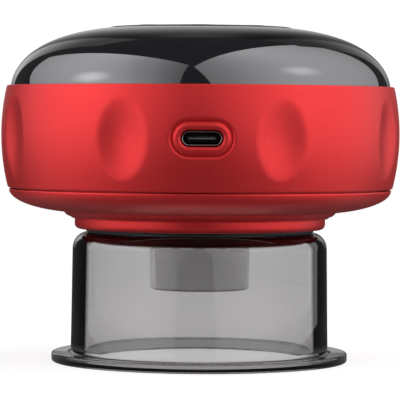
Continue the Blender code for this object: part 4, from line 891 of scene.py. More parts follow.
@dataclass
class Neck:
    """The red collar with its spigot, and the seal, ring, filter and screws that go with it.

    Its air_way and screw_hole hold the radius and the two heights of each bore, its screw the radius, the
    height and the rounding of each corner, and its cross the length, the width and the depth of each bar.
    """

    radius: float = 29.3
    low: float = 30.95
    top: float = 33.7
    rounding: float = 1.9
    spigot_radius: float = 18.0
    spigot_low: float = 27.4
    root: float = 30.3
    seat: float = 31.4
    lens_bore: float = 11.9
    ledge_radius: float = 13.2
    ledge: float = 32.7
    tube_radius: float = 17.6
    tube_top: float = 38.0
    seal_radius: float = 26.6
    seal_bore: float = 20.4
    seal_gap: float = 0.3
    groove_radius: float = 16.6
    groove: Point = (28.1, 29.9)
    screw_circle: float = 23.5
    screw_count: int = 4
    screw: tuple[Corner, ...] = (
        (0, 39.7, 0), (0.6, 39.7, 0.2), (1.1, 38.9, 0.2), (1.1, 32.6, 0.2), (2.1, 32.6, 0.15),
        (2.1, 31.75, 0.6), (0, 31.7, 0))
    cross: Corner = (2.4, 0.68, 1.0)
    cross_middle: float = 31.75
    air_x: float = 15.4
    air_way: tuple[Corner, ...] = ((0.7, 24, 40), (1.6, 24, 27.9), (1.7, 36.8, 40))
    screw_hole: tuple[Corner, ...] = ((1.4, 28, 36), (2.4, 28, 32.9))
    sleeve: float = 0.28
    sleeve_wall: float = 0.2
    sleeve_top: float = 30.2
    ring_radius: float = 17.0
    ring_heights: Point = (28.4, 29.6)
    filter_radius: float = 1.5
    filter_top: float = 27.85

    def build(self) -> None:
        """Makes the collar, the seal, the ring, the filter and the screws."""
        self.collar()
        high = self.seat - self.seal_gap
        seal = round_off([
            (self.seal_radius, high, 0.2), (self.seal_radius, self.root, 0.25),
            (self.seal_bore, self.root, 0.25), (self.seal_bore, high, 0.2)], 4)
        settle(turned("neck_seal", seal, BLACK_RUBBER), Body.HOUSING, "black_rubber", "cup_seal")
        outer = self.spigot_radius + self.sleeve
        inner, (low, high) = outer - self.sleeve_wall, self.ring_heights
        ring = round_off([
            (inner, self.sleeve_top, 0.05), (inner, high, 0.05), (self.ring_radius, high, 0.1),
            (self.ring_radius, low, 0.1), (inner, low, 0.05), (inner, self.spigot_low, 0.05),
            (outer, self.spigot_low, 0.08), (outer, self.sleeve_top, 0.05)], 3)
        settle(turned("ring_seal", ring, BLACK_RUBBER, 160), Body.HOUSING, "black_rubber", "spigot_ring")
        gauze = round_off([(0, self.filter_top, 0), (self.filter_radius, self.filter_top, 0.1),
                           (self.filter_radius, self.spigot_low, 0.1), (0, self.spigot_low, 0)], 3)
        settle(turned("air_filter", gauze, WHITE_PLASTIC, 40, (self.air_x, 0.0)), Body.HOUSING,
               "white_plastic", "inlet_filter")
        self.screws()

    def collar(self) -> None:
        """Makes the collar, with its holes for the screws and the air way."""
        gap, (low, high) = self.seal_gap, self.groove
        profile = round_off([
            (self.radius, self.top, 0.15), (self.radius, self.low, self.rounding),
            (self.seal_radius + gap, self.low, 0.12), (self.seal_radius + gap, self.seat, 0),
            (self.seal_bore - gap, self.seat, 0), (self.seal_bore - gap, self.root, 0.12),
            (self.spigot_radius, self.root, 0), (self.spigot_radius, high, 0.1),
            (self.groove_radius, high, 0.1), (self.groove_radius, low, 0.1),
            (self.spigot_radius, low, 0.1),
            (self.spigot_radius, self.spigot_low, 0.1), (self.lens_bore, self.spigot_low, 0.15),
            (self.lens_bore, self.ledge, 0), (self.ledge_radius, self.ledge, 0),
            (self.ledge_radius, self.tube_top, 0.15), (self.tube_radius, self.tube_top, 0.3),
            (self.tube_radius, self.top, 0.4)])
        collar = turned("collar", profile, RED_SATIN)
        cuts = [tool(bored(*hole), (self.air_x, 0)) for hole in self.air_way]
        for place in places_on_ring(self.screw_circle, self.screw_count, 0.5):
            cuts += [tool(bored(*hole), place) for hole in self.screw_hole]
        settle(carved(collar, cuts), Body.HOUSING, "red_satin", "neck_collar")

    def screws(self) -> None:
        """Repeats one pan-head screw on its circle."""
        (long, slim, deep), middle = self.cross, (0, 0, self.cross_middle)
        bars = [box("tool", middle, size) for size in ((long, slim, deep), (slim, long, deep))]
        screw = carved(turned("screw", round_off(self.screw, 5), STEEL, 40), bars)
        repeated = repeat_on_ring("neck_screws", screw, self.screw_circle, self.screw_count, 0, 0.5, STEEL)
        settle(repeated, Body.HOUSING, "steel", *[f"neck_screw_{i + 1}" for i in range(self.screw_count)])


@dataclass
class LampHead:
    """The smoked lens that hangs in the cup, and the red lamps behind it."""

    radius: float = 11.75
    low: float = 16.75
    ceiling: float = 26.3
    wall: float = 1.9
    bore_low: float = 26.1
    draft: float = 0.12
    corner: float = 0.9
    ledge: float = 33.0
    top: float = 34.2
    flange_radius: float = 12.9
    lamp_radius: float = 1.5
    lamp_low: float = 26.6
    lamp_height: float = 2.0
    lamp_circle: float = 5.4
    lamp_count: int = 4

    def build(self) -> None:
        """Makes the lens and the lamps."""
        foot = self.radius - self.draft
        bore = foot - self.wall
        profile = round_off([
            (0, self.bore_low, 0), (bore, self.bore_low, 0.9),
            (bore + self.draft, self.top, 0.15), (self.flange_radius, self.top, 0.15),
            (self.flange_radius, self.ledge, 0.15), (self.radius, self.ledge, 0),
            (self.radius, self.ceiling, 0), (foot, self.low, self.corner), (0, self.low, 0)], 8)
        settle(turned("lens", profile, LENS_SMOKE, 200), Body.HOUSING, "lens_smoke", "lamp_lens")
        top = self.lamp_low + self.lamp_height
        r = self.lamp_radius
        dome = [(0, top), (r, top), *arc((0, self.lamp_low + r), r, 0, -QUARTER, 10)[1:]]
        lamp = turned("lamp", dome, RED_LAMP, 32)
        lamps = repeat_on_ring("red_lamps", lamp, self.lamp_circle, self.lamp_count, 1, 0.0, RED_LAMP)
        settle(lamps, Body.HOUSING, "red_lamp", *[f"red_lamp_{i + 1}" for i in range(self.lamp_count + 1)])


@dataclass
class LowerCover:
    """The red underside: a lip over the collar, and an elliptic belly up to the parting line."""

    lip: float = 30.1
    low: float = 33.5
    throat: float = 29.6
    ceiling: float = 34.0
    floor: float = 36.0
    hole: float = 17.9
    top: float = 40.2
    tongue_top: float = 43.5
    tongue_radius: float = 42.9
    inner_radius: float = 41.0
    centre: float = 28.0
    reach: float = 16.65
    drop: float = 5.34
    inner_drop: float = 3.4
    end: float = math.radians(76)
    screw_circle: float = 23.5
    screw_hole: Corner = (1.4, 32, 38)

    def belly(self, reach: float, drop: float, first: float, last: float) -> list[Point]:
        """Points of an ellipse about the belly's centre. Takes its reaches and its angles."""
        return [(self.centre + reach * math.cos(t), self.top - drop * math.sin(t))
                for t in (first + (last - first) * i / 28 for i in range(29))]

    def build(self) -> None:
        """Makes the cover."""
        outer = self.belly(self.reach, self.drop, 0.03, self.end)
        end = outer[-1]
        inner = self.belly(self.inner_radius - self.centre, self.inner_drop, self.end, 0.0)
        profile = [
            *round_off([(self.inner_radius, self.tongue_top, 0.2),
                        (self.tongue_radius, self.tongue_top, 0.3), (self.tongue_radius, self.top, 0),
                        (outer[0][0] - 0.05, self.top, 0), (outer[0][0], outer[0][1], 0)], 4),
            *outer[1:], ((end[0] + self.lip) / 2 + 0.12, (end[1] + self.low) / 2 - 0.1),
            *round_off([(self.lip, self.low, 0.15), (self.throat, self.low, 0.12),
                        (self.throat, self.ceiling, 0), (self.hole, self.ceiling, 0.1),
                        (self.hole, self.floor, 0.1), (self.throat, self.floor, 0.4)], 4),
            *inner]
        cover = turned("underside", profile, RED_SATIN)
        cuts = [tool(bored(*self.screw_hole), place)
                for place in places_on_ring(self.screw_circle, 4, 0.5)]
        settle(carved(cover, cuts), Body.HOUSING, "red_satin", "lower_cover")


@dataclass
class Slot:
    """The round-ended outline that the charging port's pieces share, seen from the front.

    Attributes:
        centre: the height of its middle.
        belly: the largest radius of the body that it stands in.
        body_arc: the radius of the body's upright curve.
        belly_height: the height of the body's largest radius.
    """

    centre: float = 52.4
    belly: float = 46.5
    body_arc: float = 50.0
    belly_height: float = 53.0
    steps: int = 28

    def outline(self, width: float, height: float) -> list[Point]:
        """(across, up) points about the middle. Takes the outline's width and height."""
        half = height / 2
        points = []
        for side in (1, -1):
            for i in range(self.steps + 1):
                t = side * QUARTER - math.pi * i / self.steps
                points.append((side * (width / 2 - half) + half * math.cos(t), half * math.sin(t)))
        return points

    def surface(self, across: float, height: float) -> float:
        """The body's face there. Takes the place across and the height, returns its -Y."""
        rise = height - self.belly_height
        radius = self.belly - self.body_arc + math.sqrt(self.body_arc**2 - rise**2)
        return math.sqrt(radius**2 - across**2)

    def loft(self, name: str, rings: Sequence[tuple[float, float, float]], finish: Finish,
             follows: bool, hollow: bool, crease: float = 40.0) -> Piece:
        """Joins outlines into a ring or a plug.

        Args:
            name: the object's name.
            rings: (width, height, depth) of each outline, where the depth is behind the body's face, or
                behind its frontmost point.
            finish: its finish.
            follows: whether the depths follow the body's curve.
            hollow: whether the last outline joins the first, instead of both being filled.
            crease: the angle in degrees above which an edge stays sharp.

        Returns:
            The object.
        """
        sheet = bmesh.new()
        loops = []
        for width, height, depth in rings:
            loop = []
            for x, z in self.outline(width, height):
                face = self.surface(x, self.centre + z) if follows else self.belly
                loop.append(sheet.verts.new((x * MM, (depth - face) * MM, (self.centre + z) * MM)))
            loops.append(loop)
        bridge(sheet, loops, hollow)
        return as_piece(name, sheet, finish, crease)


@dataclass
class MainShell:
    """The barrel-shaped red shell: Geometry Nodes turn its wall and press in the finger dimples."""

    low: float = 40.5
    top: float = 64.28
    belly: float = 46.5
    body_arc: float = 50.0
    belly_height: float = 53.0
    bore: float = 43.2
    mouth: float = 44.7
    rebate: float = 62.5
    edge: float = 0.4
    lip_round: float = 0.22
    dimples: int = 8
    dimple_height: float = 52.2
    dimple_tall: float = 18.8
    dimple_wide: float = 12.4
    dimple_depth: float = 1.3
    dimple_fade: float = 1.4
    rows: int = 96
    columns: int = 480
    pocket: Point = (13.4, 7.7)
    pocket_round: float = 0.95
    pocket_fall: float = 0.75
    pocket_depth: float = 6.0
    overrun: float = 2.0
    slot: Slot = field(default_factory=Slot)

    def profile(self) -> tuple[list[Point], list[bool]]:
        """The wall's outline.

        Returns:
            Its points, whose first number is a radius, or on the outer face an offset from the barrel;
            and whether each is on that face.
        """
        high, foot = self.top - self.lip_round, self.low + self.edge
        face = [*arc((-self.lip_round, high), self.lip_round, QUARTER, 0, 5),
                *((0.0, high + (foot - high) * i / self.rows) for i in range(1, self.rows)),
                *arc((-self.edge, foot), self.edge, 0, -QUARTER, 5)]
        inside = round_off([
            (self.bore, self.low, 0.15), (self.bore, self.rebate, 0.1), (self.mouth, self.rebate, 0),
            (self.mouth, self.top, 0.12), (self.mouth + 0.3, self.top + 0.0001, 0)], 3)[:-1]
        return face + inside, [True] * len(face) + [False] * len(inside)

    def pocket_cutter(self) -> Piece:
        """The plug that cuts the port's pocket, with a trumpet mouth that rounds its rim."""
        width, height = self.pocket
        rings = [(width + 2 * self.pocket_round, height + 2 * self.pocket_round, -self.overrun)]
        for i in range(9):
            t = QUARTER * i / 8
            flare = 2 * self.pocket_round * (1 - math.sin(t))
            rings.append((width + flare, height + flare, self.pocket_fall * (1 - math.cos(t)) - 0.02))
        rings.append((width, height, self.pocket_depth))
        return self.slot.loft("pocket_cutter", rings, RED_SATIN, True, False)

    def wire(self, tree: Tree, given: Outputs) -> Socket:
        """Turns the profile, presses in the dimples and cuts the pocket.

        Args:
            tree: the shell's node tree.
            given: its inputs.

        Returns:
            The shape.
        """
        def sampled(value: Socket, kind: str) -> Socket:
            """A value of the profile's point at this step. Takes the value and its type."""
            return tree.add("GeometryNodeSampleIndex", {"Geometry": given["Geometry"], "Value": value,
                                                        "Index": step}, data_type=kind,
                            domain="POINT").outputs[0]

        m = tree.math
        grid = tree.add("GeometryNodeMeshGrid", {
            "Size X": 1.0, "Size Y": 1.0, "Vertices X": m("ADD", given["Points"], 1),
            "Vertices Y": m("ADD", given["Columns"], 1)}).outputs["Mesh"]
        spot = tree.add("GeometryNodeInputPosition").outputs[0]
        at = tree.add("ShaderNodeSeparateXYZ", {0: spot}).outputs
        step = m("ROUND", m("MULTIPLY", m("ADD", at[0], 0.5), given["Points"]))
        step = m("FLOORED_MODULO", step, given["Points"])
        outline = sampled(spot, "FLOAT_VECTOR")
        follows = sampled(tree.add("GeometryNodeInputNamedAttribute", {"Name": "outer"},
                                   data_type="FLOAT").outputs[0], "FLOAT")
        across = tree.add("ShaderNodeSeparateXYZ", {0: outline}).outputs
        height = across[2]
        column = m("ROUND", m("MULTIPLY", m("ADD", at[1], 0.5), given["Columns"]))
        share = m("DIVIDE", m("FLOORED_MODULO", column, given["Columns"]), given["Columns"])
        rise = m("SUBTRACT", height, given["Belly height"])
        arc_squared = m("MULTIPLY", given["Body arc"], given["Body arc"])
        barrel = m("ADD", m("SUBTRACT", given["Belly radius"], given["Body arc"]),
                   m("SQRT", m("SUBTRACT", arc_squared, m("MULTIPLY", rise, rise))))
        sector = m("SUBTRACT", m("FRACT", m("MULTIPLY", share, given["Dimples"])), 0.5)
        swing = m("MULTIPLY", m("DIVIDE", sector, given["Dimples"]), TURN)
        wide = m("DIVIDE", m("MULTIPLY", swing, given["Belly radius"]),
                 m("MULTIPLY", given["Dimple width"], 0.5))
        tall = m("DIVIDE", m("SUBTRACT", height, given["Dimple middle"]),
                 m("MULTIPLY", given["Dimple length"], 0.5))
        left = m("SUBTRACT", 1.0, m("ADD", m("MULTIPLY", wide, wide), m("MULTIPLY", tall, tall)))
        press = m("MULTIPLY", m("POWER", m("MAXIMUM", left, 0.0), given["Dimple fade"]),
                  given["Dimple depth"])
        radius = m("ADD", across[0], m("MULTIPLY", follows, m("SUBTRACT", barrel, press)))
        angle = m("SUBTRACT", m("MULTIPLY", share, TURN), QUARTER)
        place = tree.add("ShaderNodeCombineXYZ", {
            0: m("MULTIPLY", radius, m("COSINE", angle)), 1: m("MULTIPLY", radius, m("SINE", angle)),
            2: height}).outputs[0]
        wall = tree.add("GeometryNodeSetPosition", {"Geometry": grid, "Position": place}).outputs[0]
        wall = tree.add("GeometryNodeMergeByDistance", {"Geometry": wall, "Distance": 1e-6}).outputs[0]
        wall = tree.add("GeometryNodeFlipFaces", {0: wall}).outputs[0]
        plug = tree.add("GeometryNodeObjectInfo", {"Object": given["Cutter"]}).outputs["Geometry"]
        return tree.add("GeometryNodeMeshBoolean", {"Mesh 1": wall, "Mesh 2": plug},
                        operation="DIFFERENCE", solver="EXACT").outputs[0]

    def build(self) -> None:
        """Makes the shell."""
        points, outer = self.profile()
        mesh = bpy.data.meshes.new("profile")
        mesh.from_pydata([(x * MM, 0.0, z * MM) for x, z in points],
                         [(i, i + 1) for i in range(len(points) - 1)], [])
        mark = mesh.attributes.new("outer", "FLOAT", "POINT")
        mark.data.foreach_set("value", [float(flag) for flag in outer])
        cutter = self.pocket_cutter()
        sizes = (("Belly radius", self.belly), ("Body arc", self.body_arc),
                 ("Belly height", self.belly_height), ("Dimple width", self.dimple_wide),
                 ("Dimple length", self.dimple_tall), ("Dimple middle", self.dimple_height),
                 ("Dimple depth", self.dimple_depth))
        shell = grown("barrel_shell", mesh, RED_SATIN, (
            *((label, "Float", size * MM) for label, size in sizes),
            ("Dimple fade", "Float", self.dimple_fade), ("Columns", "Int", self.columns),
            ("Points", "Int", len(points)), ("Dimples", "Int", self.dimples),
            ("Cutter", "Object", cutter)), self.wire, 38.0, [cutter])
        settle(shell, Body.HOUSING, "red_satin", "main_shell")


@dataclass
class ChargingPort:
    """The red bezel, and the steel socket in it with its contact tongue."""

    bezel: Point = (12.8, 7.15)
    hole: Point = (9.36, 3.68)
    bezel_depth: float = 2.3
    proud: float = 0.1
    skirt: Point = (13.3, 7.6)
    skirt_depth: float = 0.5
    socket: Point = (8.94, 3.26)
    socket_wall: float = 0.3
    inset: float = 1.8
    length: float = 7.3
    tongue_base: float = 1.4
    tongue_length: float = 4.6
    tongue_size: Point = (6.7, 0.7)
    pins: int = 12
    pin_pitch: float = 0.5
    pin_size: Corner = (0.26, 3.0, 0.04)
    pin_middle: float = 2.1
    plate: Point = (0.1, 0.3)
    slot: Slot = field(default_factory=Slot)

    def build(self) -> None:
        """Makes the bezel, the socket, the tongue and its contacts."""
        (wide, tall), (hole_wide, hole_tall) = self.bezel, self.hole
        back, foot = self.bezel_depth, self.skirt_depth
        rings = [(wide - 0.4, tall - 0.4, back), (wide, tall, back - 0.2), (wide, tall, foot + 0.4),
                 (*self.skirt, foot + 0.35), (*self.skirt, foot), (wide + 0.1, tall + 0.1, foot)]
        for i in range(1, 20):
            t = math.pi * i / 20
            share = (1 + math.cos(t)) / 2
            rings.append((hole_wide + (wide - hole_wide) * share, hole_tall + (tall - hole_tall) * share,
                          foot - (foot + self.proud) * math.sin(t) ** 0.85))
        rings += [(hole_wide, hole_tall, foot + 0.1), (hole_wide, hole_tall, back)]
        bezel = self.slot.loft("socket_bezel", rings, RED_SATIN, True, True, 50.0)
        settle(bezel, Body.HOUSING, "red_satin", "port_bezel")
        (wide, tall), wall = self.socket, self.socket_wall
        front, end = self.inset, self.inset + self.length
        inner = (wide - 2 * wall, tall - 2 * wall)
        shell = self.slot.loft("socket_shell", [
            (wide - 0.1, tall - 0.1, end), (wide, tall, end - 0.1), (wide, tall, front + 0.1),
            (wide - 0.06, tall - 0.06, front + 0.02), (wide - 0.2, tall - 0.2, front),
            (inner[0] + 0.2, inner[1] + 0.2, front), (inner[0] + 0.05, inner[1] + 0.05, front + 0.03),
            (*inner, front + 0.12), (*inner, end)], SHADED_SOCKET_STEEL, False, True, 60.0)
        settle(shell, Body.HOUSING, "steel", "usb_shell")
        self.tongue(end)

    def tongue(self, end: float) -> None:
        """Makes the tongue on its base, the edge of its plate, and the contacts on both its faces.

        Args:
            end: how far the socket's back is behind the body's frontmost point.
        """
        gap = 2 * (self.socket_wall + 0.3)
        base = self.slot.loft("socket_tongue", [
            (self.socket[0] - gap, self.socket[1] - gap, end),
            (self.socket[0] - gap, self.socket[1] - gap, end - self.tongue_base + 0.1),
            (self.socket[0] - gap - 0.2, self.socket[1] - gap - 0.2, end - self.tongue_base)],
            SHADED_SOCKET_BLACK, False, False)
        wide, thick = self.tongue_size
        tip = end - self.tongue_base - self.tongue_length
        blade = bmesh.new()
        corners = round_off([(-wide / 2, tip, 0.5), (wide / 2, tip, 0.5),
                             (wide / 2, end - 0.7, 0), (-wide / 2, end - 0.7, 0)], 6)
        loops = [[blade.verts.new((x * inset * MM, (y - self.slot.belly) * MM, (self.slot.centre + z) * MM))
                  for x, y in corners]
                 for z, inset in ((-thick / 2, 0.985), (-thick / 2 + 0.08, 1.0), (thick / 2 - 0.08, 1.0),
                                  (thick / 2, 0.985))]
        bridge(blade, loops, False)
        settle(carved(base, adds=[as_piece("tool", blade, SHADED_SOCKET_BLACK)]), Body.HOUSING, "black_plastic",
               "usb_tongue")
        plate = box("tongue_plate", (0, tip - self.slot.belly, self.slot.centre), (wide - 1.0, *self.plate))
        settle(plate, Body.HOUSING, "steel")
        settle(self.contacts(tip), Body.HOUSING, "steel")

    def contacts(self, tip: float) -> Piece:
        """Repeats a gold contact along both faces of the tongue by Geometry Nodes.

        Args:
            tip: how far the tongue's tip is behind the body's frontmost point.

        Returns:
            The contacts.
        """
        def wire(tree: Tree, given: Outputs) -> Socket:
            """Lays a row on each face. Takes the tree and its inputs, returns the shape."""
            pin = tree.add("GeometryNodeMeshCube", {"Size": given["Size"]}).outputs[0]
            run = tree.add("ShaderNodeCombineXYZ", {0: given["Pitch"]}).outputs[0]
            line = tree.add("GeometryNodeMeshLine", {
                "Count": given["Pins"], "Start Location": given["First"], "Offset": run}).outputs[0]
            both = tree.add("GeometryNodeJoinGeometry")
            for side in (1, -1):
                lift = tree.add("ShaderNodeCombineXYZ", {2: tree.math("MULTIPLY", given["Rise"], side)})
                moved = tree.add("GeometryNodeSetPosition", {"Geometry": line, "Offset": lift.outputs[0]})
                row = tree.add("GeometryNodeInstanceOnPoints", {"Points": moved.outputs[0],
                                                                "Instance": pin})
                tree.tree.links.new(row.outputs[0], both.inputs[0])
            return both.outputs[0]

        first = (-self.pin_pitch * (self.pins - 1) / 2, tip + self.pin_middle - self.slot.belly,
                 self.slot.centre)
        return grown("socket_contacts", bpy.data.meshes.new("socket_contacts"), GOLD, (
            ("Pins", "Int", self.pins), ("Pitch", "Float", self.pin_pitch * MM),
            ("Size", "Vector", tuple(part * MM for part in self.pin_size)),
            ("First", "Vector", tuple(part * MM for part in first)),
            ("Rise", "Float", (self.tongue_size[1] + self.pin_size[2]) / 2 * MM)), wire)


class Sign(Enum):
    """The plain signs on the keys."""

    POWER = "power"
    SUCTION = "suction"
    HEAT = "heat"


@dataclass
class TopCover:
    """The glossy dome with the panel's recess, and the panel, keys and display in it.

    Its boss, boss_hole and key_hole hold a radius and two heights, its window a middle and a size, its
    key_foot a radius, a top and a bottom, and its panel_hole a radius and a rounding.
    """

    radius: float = 44.4
    low: float = 62.8
    rise: float = 15.65
    wall: float = 2.0
    side_power: float = 3.4
    rise_power: float = 2.05
    roof: float = 75.15
    recess: float = 76.65
    recess_radius: float = 21.5
    panel_radius: float = 21.2
    panel_low: float = 76.95
    panel_top: float = 78.02
    panel_round: float = 0.3
    panel_hole: Point = (4.0, 0.25)
    panel_cut: Point = (75, 80)
    key_radius: float = 3.7
    key_top: float = 78.27
    key_dish: float = 0.16
    dish_radius: float = 3.1
    key_foot: Corner = (4.8, 74.85, 73.65)
    key_hole: Corner = (4.0, 73, 79)
    boss_circle: float = 26.0
    boss: Corner = (2.5, 71.45, 75.65)
    boss_hole: Corner = (1.3, 69, 74.9)
    window: tuple[Corner, Corner] = ((0, 6.5, 76), (20.5, 9.0, 6.0))
    digits_middle: float = 6.9
    bars_middle: float = 2.6
    keys: dict[Sign, Point] = field(default_factory=lambda: {
        Sign.POWER: (-11.0, -8.5), Sign.SUCTION: (0.0, -11.5), Sign.HEAT: (11.0, -8.5)})

    def curve(self, side: float, rise: float, first: float, last: float, steps: int) -> list[Point]:
        """Points of the dome's side. Takes its reaches, its angles and its facets."""
        return [(side * max(math.cos(t), 0.0) ** (2 / self.side_power),
                 self.low + rise * max(math.sin(t), 0.0) ** (2 / self.rise_power))
                for t in (first + (last - first) * i / steps for i in range(steps + 1))]

    def build(self) -> None:
        """Makes the dome, the panel, the keys, their signs and the display."""
        self.dome()
        self.panel()
        for sign, place in self.keys.items():
            self.key(sign, place)
        self.display()

    def dome(self) -> None:
        """Makes the dome with its recess, key holes, window and bosses."""
        start = math.acos((self.recess_radius / self.radius) ** (self.side_power / 2))
        inner_rise, inner_side = self.rise - self.wall, self.radius - self.wall
        stop = math.asin(((self.roof - self.low) / inner_rise) ** (self.rise_power / 2))
        outer = self.curve(self.radius, self.rise, start, 0.0, 72)
        profile = [
            (0, self.recess), *round_off([(self.recess_radius, self.recess, 0.2),
                                          (self.recess_radius, outer[0][1], 0.12), outer[2] + (0,),
                                          (self.recess_radius - 1, self.recess, 0)], 4)[:-2],
            *outer[2:-1], (self.radius, self.low + 0.15), (self.radius - 0.15, self.low),
            *self.curve(inner_side, inner_rise, 0.0, stop, 24), (0, self.roof)]
        dome = turned("dome", profile, BLACK_GLOSS, 320)
        bosses = places_on_ring(self.boss_circle, 3, 0.5)
        adds = [tool(bored(*self.boss), place) for place in bosses]
        cuts = [tool(bored(*self.boss_hole), place) for place in bosses]
        cuts += [tool(bored(*self.key_hole), place, 64) for place in self.keys.values()]
        cuts.append(box("tool", *self.window))
        settle(carved(dome, cuts, adds), Body.HOUSING, "black_gloss", "top_cover")

    def panel(self) -> None:
        """Makes the thin disc with its key holes."""
        profile = round_off([(0, self.panel_top, 0), (self.panel_radius, self.panel_top, self.panel_round),
                             (self.panel_radius, self.panel_low, 0.15), (0, self.panel_low, 0)], 6)
        disc = turned("panel_disc", profile, BLACK_PANEL, 280)
        (hole, edge), (low, high) = self.panel_hole, self.panel_cut
        reach = hole + edge + 0.1
        plug = [(0, high), (reach, high), (reach, self.panel_top + 0.02),
                *arc((hole + edge, self.panel_top - edge), edge, QUARTER, math.pi, 4),
                (hole, low), (0, low)]
        cuts = [tool(plug, place, 64) for place in self.keys.values()]
        settle(carved(disc, cuts), Body.HOUSING, "black_panel", "control_panel")

    def key(self, sign: Sign, place: Point) -> None:
        """Makes a dished key and the sign in its dish.

        Args:
            sign: the key's sign.
            place: its middle.
        """
        body = Body[sign.name]
        dish = self.key_top - self.key_dish
        bowl = [(r, dish + self.key_dish * (r / self.dish_radius) ** 2)
                for r in (0.0, 0.5, 1.0, 1.5, 2.0, 2.5, 2.85)]
        foot, high, low = self.key_foot
        profile = [*bowl, *round_off([
            (self.dish_radius, self.key_top, 0.15), (self.key_radius, self.key_top, 0.3),
            (self.key_radius, high, 0), (foot, high, 0.2), (foot, low, 0.2), (2.0, low, 0)], 5), (0, low)]
        node = f"{sign.value}_key"
        settle(turned(f"{sign.value}_cap", profile, BLACK_PANEL, 96, place), body, "black_panel", node)
        sheet = bmesh.new()
        for path, width in self.strokes(sign):
            flat_stroke(sheet, [(place[0] + x, place[1] + y) for x, y in path], width, dish - 0.1,
                        dish + 0.09)
        settle(as_piece(f"{sign.value}_sign", sheet, PRINT_GREY), body, "white_plastic")

    def strokes(self, sign: Sign) -> list[tuple[list[Point], float]]:
        """The strokes of a sign.

        Args:
            sign: which one.

        Returns:
            Each stroke's path about the key's middle, and its width.
        """
        if sign is Sign.POWER:
            return [(arc((0, -0.1), 1.35, math.radians(130), math.radians(410), 30), 0.3),
                    ([(0, 0.25), (0, 1.55)], 0.3)]
        if sign is Sign.SUCTION:
            bell = [(-1.2, -0.9), (-1.0, 0.0), (-0.55, 0.5), (0.0, 0.65), (0.55, 0.5), (1.0, 0.0),
                    (1.2, -0.9)]
            return [(bell, 0.28), ([(-1.6, -1.15), (1.6, -1.15)], 0.28),
                    ([(0, 0.95), (0, 1.6)], 0.28)]
        steps = [i * 0.25 for i in range(15)]
        return [([(x + 0.22 * math.sin(t * 1.9), -1.1 + t * 0.62) for t in steps], 0.28)
                for x in (-0.95, 0.0, 0.95)]

    def display(self) -> None:
        """Lays two unlit digits and a row of level bars in the panel's face."""
        sheet = bmesh.new()
        top = self.panel_top
        for centre in (-3.4, 3.4):
            for x, y, upright in ((0, 2.6, False), (0, 0, False), (0, -2.6, False), (-1.55, 1.3, True),
                                  (1.55, 1.3, True), (-1.55, -1.3, True), (1.55, -1.3, True)):
                reach = 0.95 if upright else 1.15
                ends = ((0, -reach), (0, reach)) if upright else ((-reach, 0), (reach, 0))
                path = [(centre + x + dx, self.digits_middle + y + dy) for dx, dy in ends]
                flat_stroke(sheet, path, 0.55, top - 0.06, top + 0.01, 0.3)
        for i in range(6):
            x = -6.25 + 2.5 * i
            bar = [(x - 0.7, self.bars_middle), (x + 0.7, self.bars_middle)]
            flat_stroke(sheet, bar, 0.5, top - 0.06, top + 0.01, 0.2)
        settle(as_piece("display_segments", sheet, UNLIT_SEGMENT), Body.HOUSING, "black_panel")


@dataclass
class Innards:
    """The pieces inside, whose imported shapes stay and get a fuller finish."""

    can_nodes: tuple[str, ...] = ("pump_can",)

    def dress(self) -> None:
        """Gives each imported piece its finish."""
        slots = {entry["node"]: entry["material_slot"] for entry in self.entries()}
        for name, obj in frame["nodes"].items():
            finish = CAN_STEEL if name in self.can_nodes else NODE_FINISHES[slots[name]]
            for place in obj.material_slots:
                place.material = finish.build()
        log.info("finished %d packed pieces", len(frame["nodes"]))

    @staticmethod
    def entries() -> list[dict]:
        """The record's list of pieces with their material slots."""
        def search(part: object) -> list[dict] | None:
            """The first such list in a part of the record. Takes the part."""
            if isinstance(part, list) and part and isinstance(part[0], dict) and "material_slot" in part[0]:
                return part
            children = part.values() if isinstance(part, dict) else part if isinstance(part, list) else ()
            return next((found for child in children if (found := search(child))), None)
        return search(frame["record"]) or []


# Studio

LIGHT_TINT: Colour = (0.985, 0.965, 1.0)


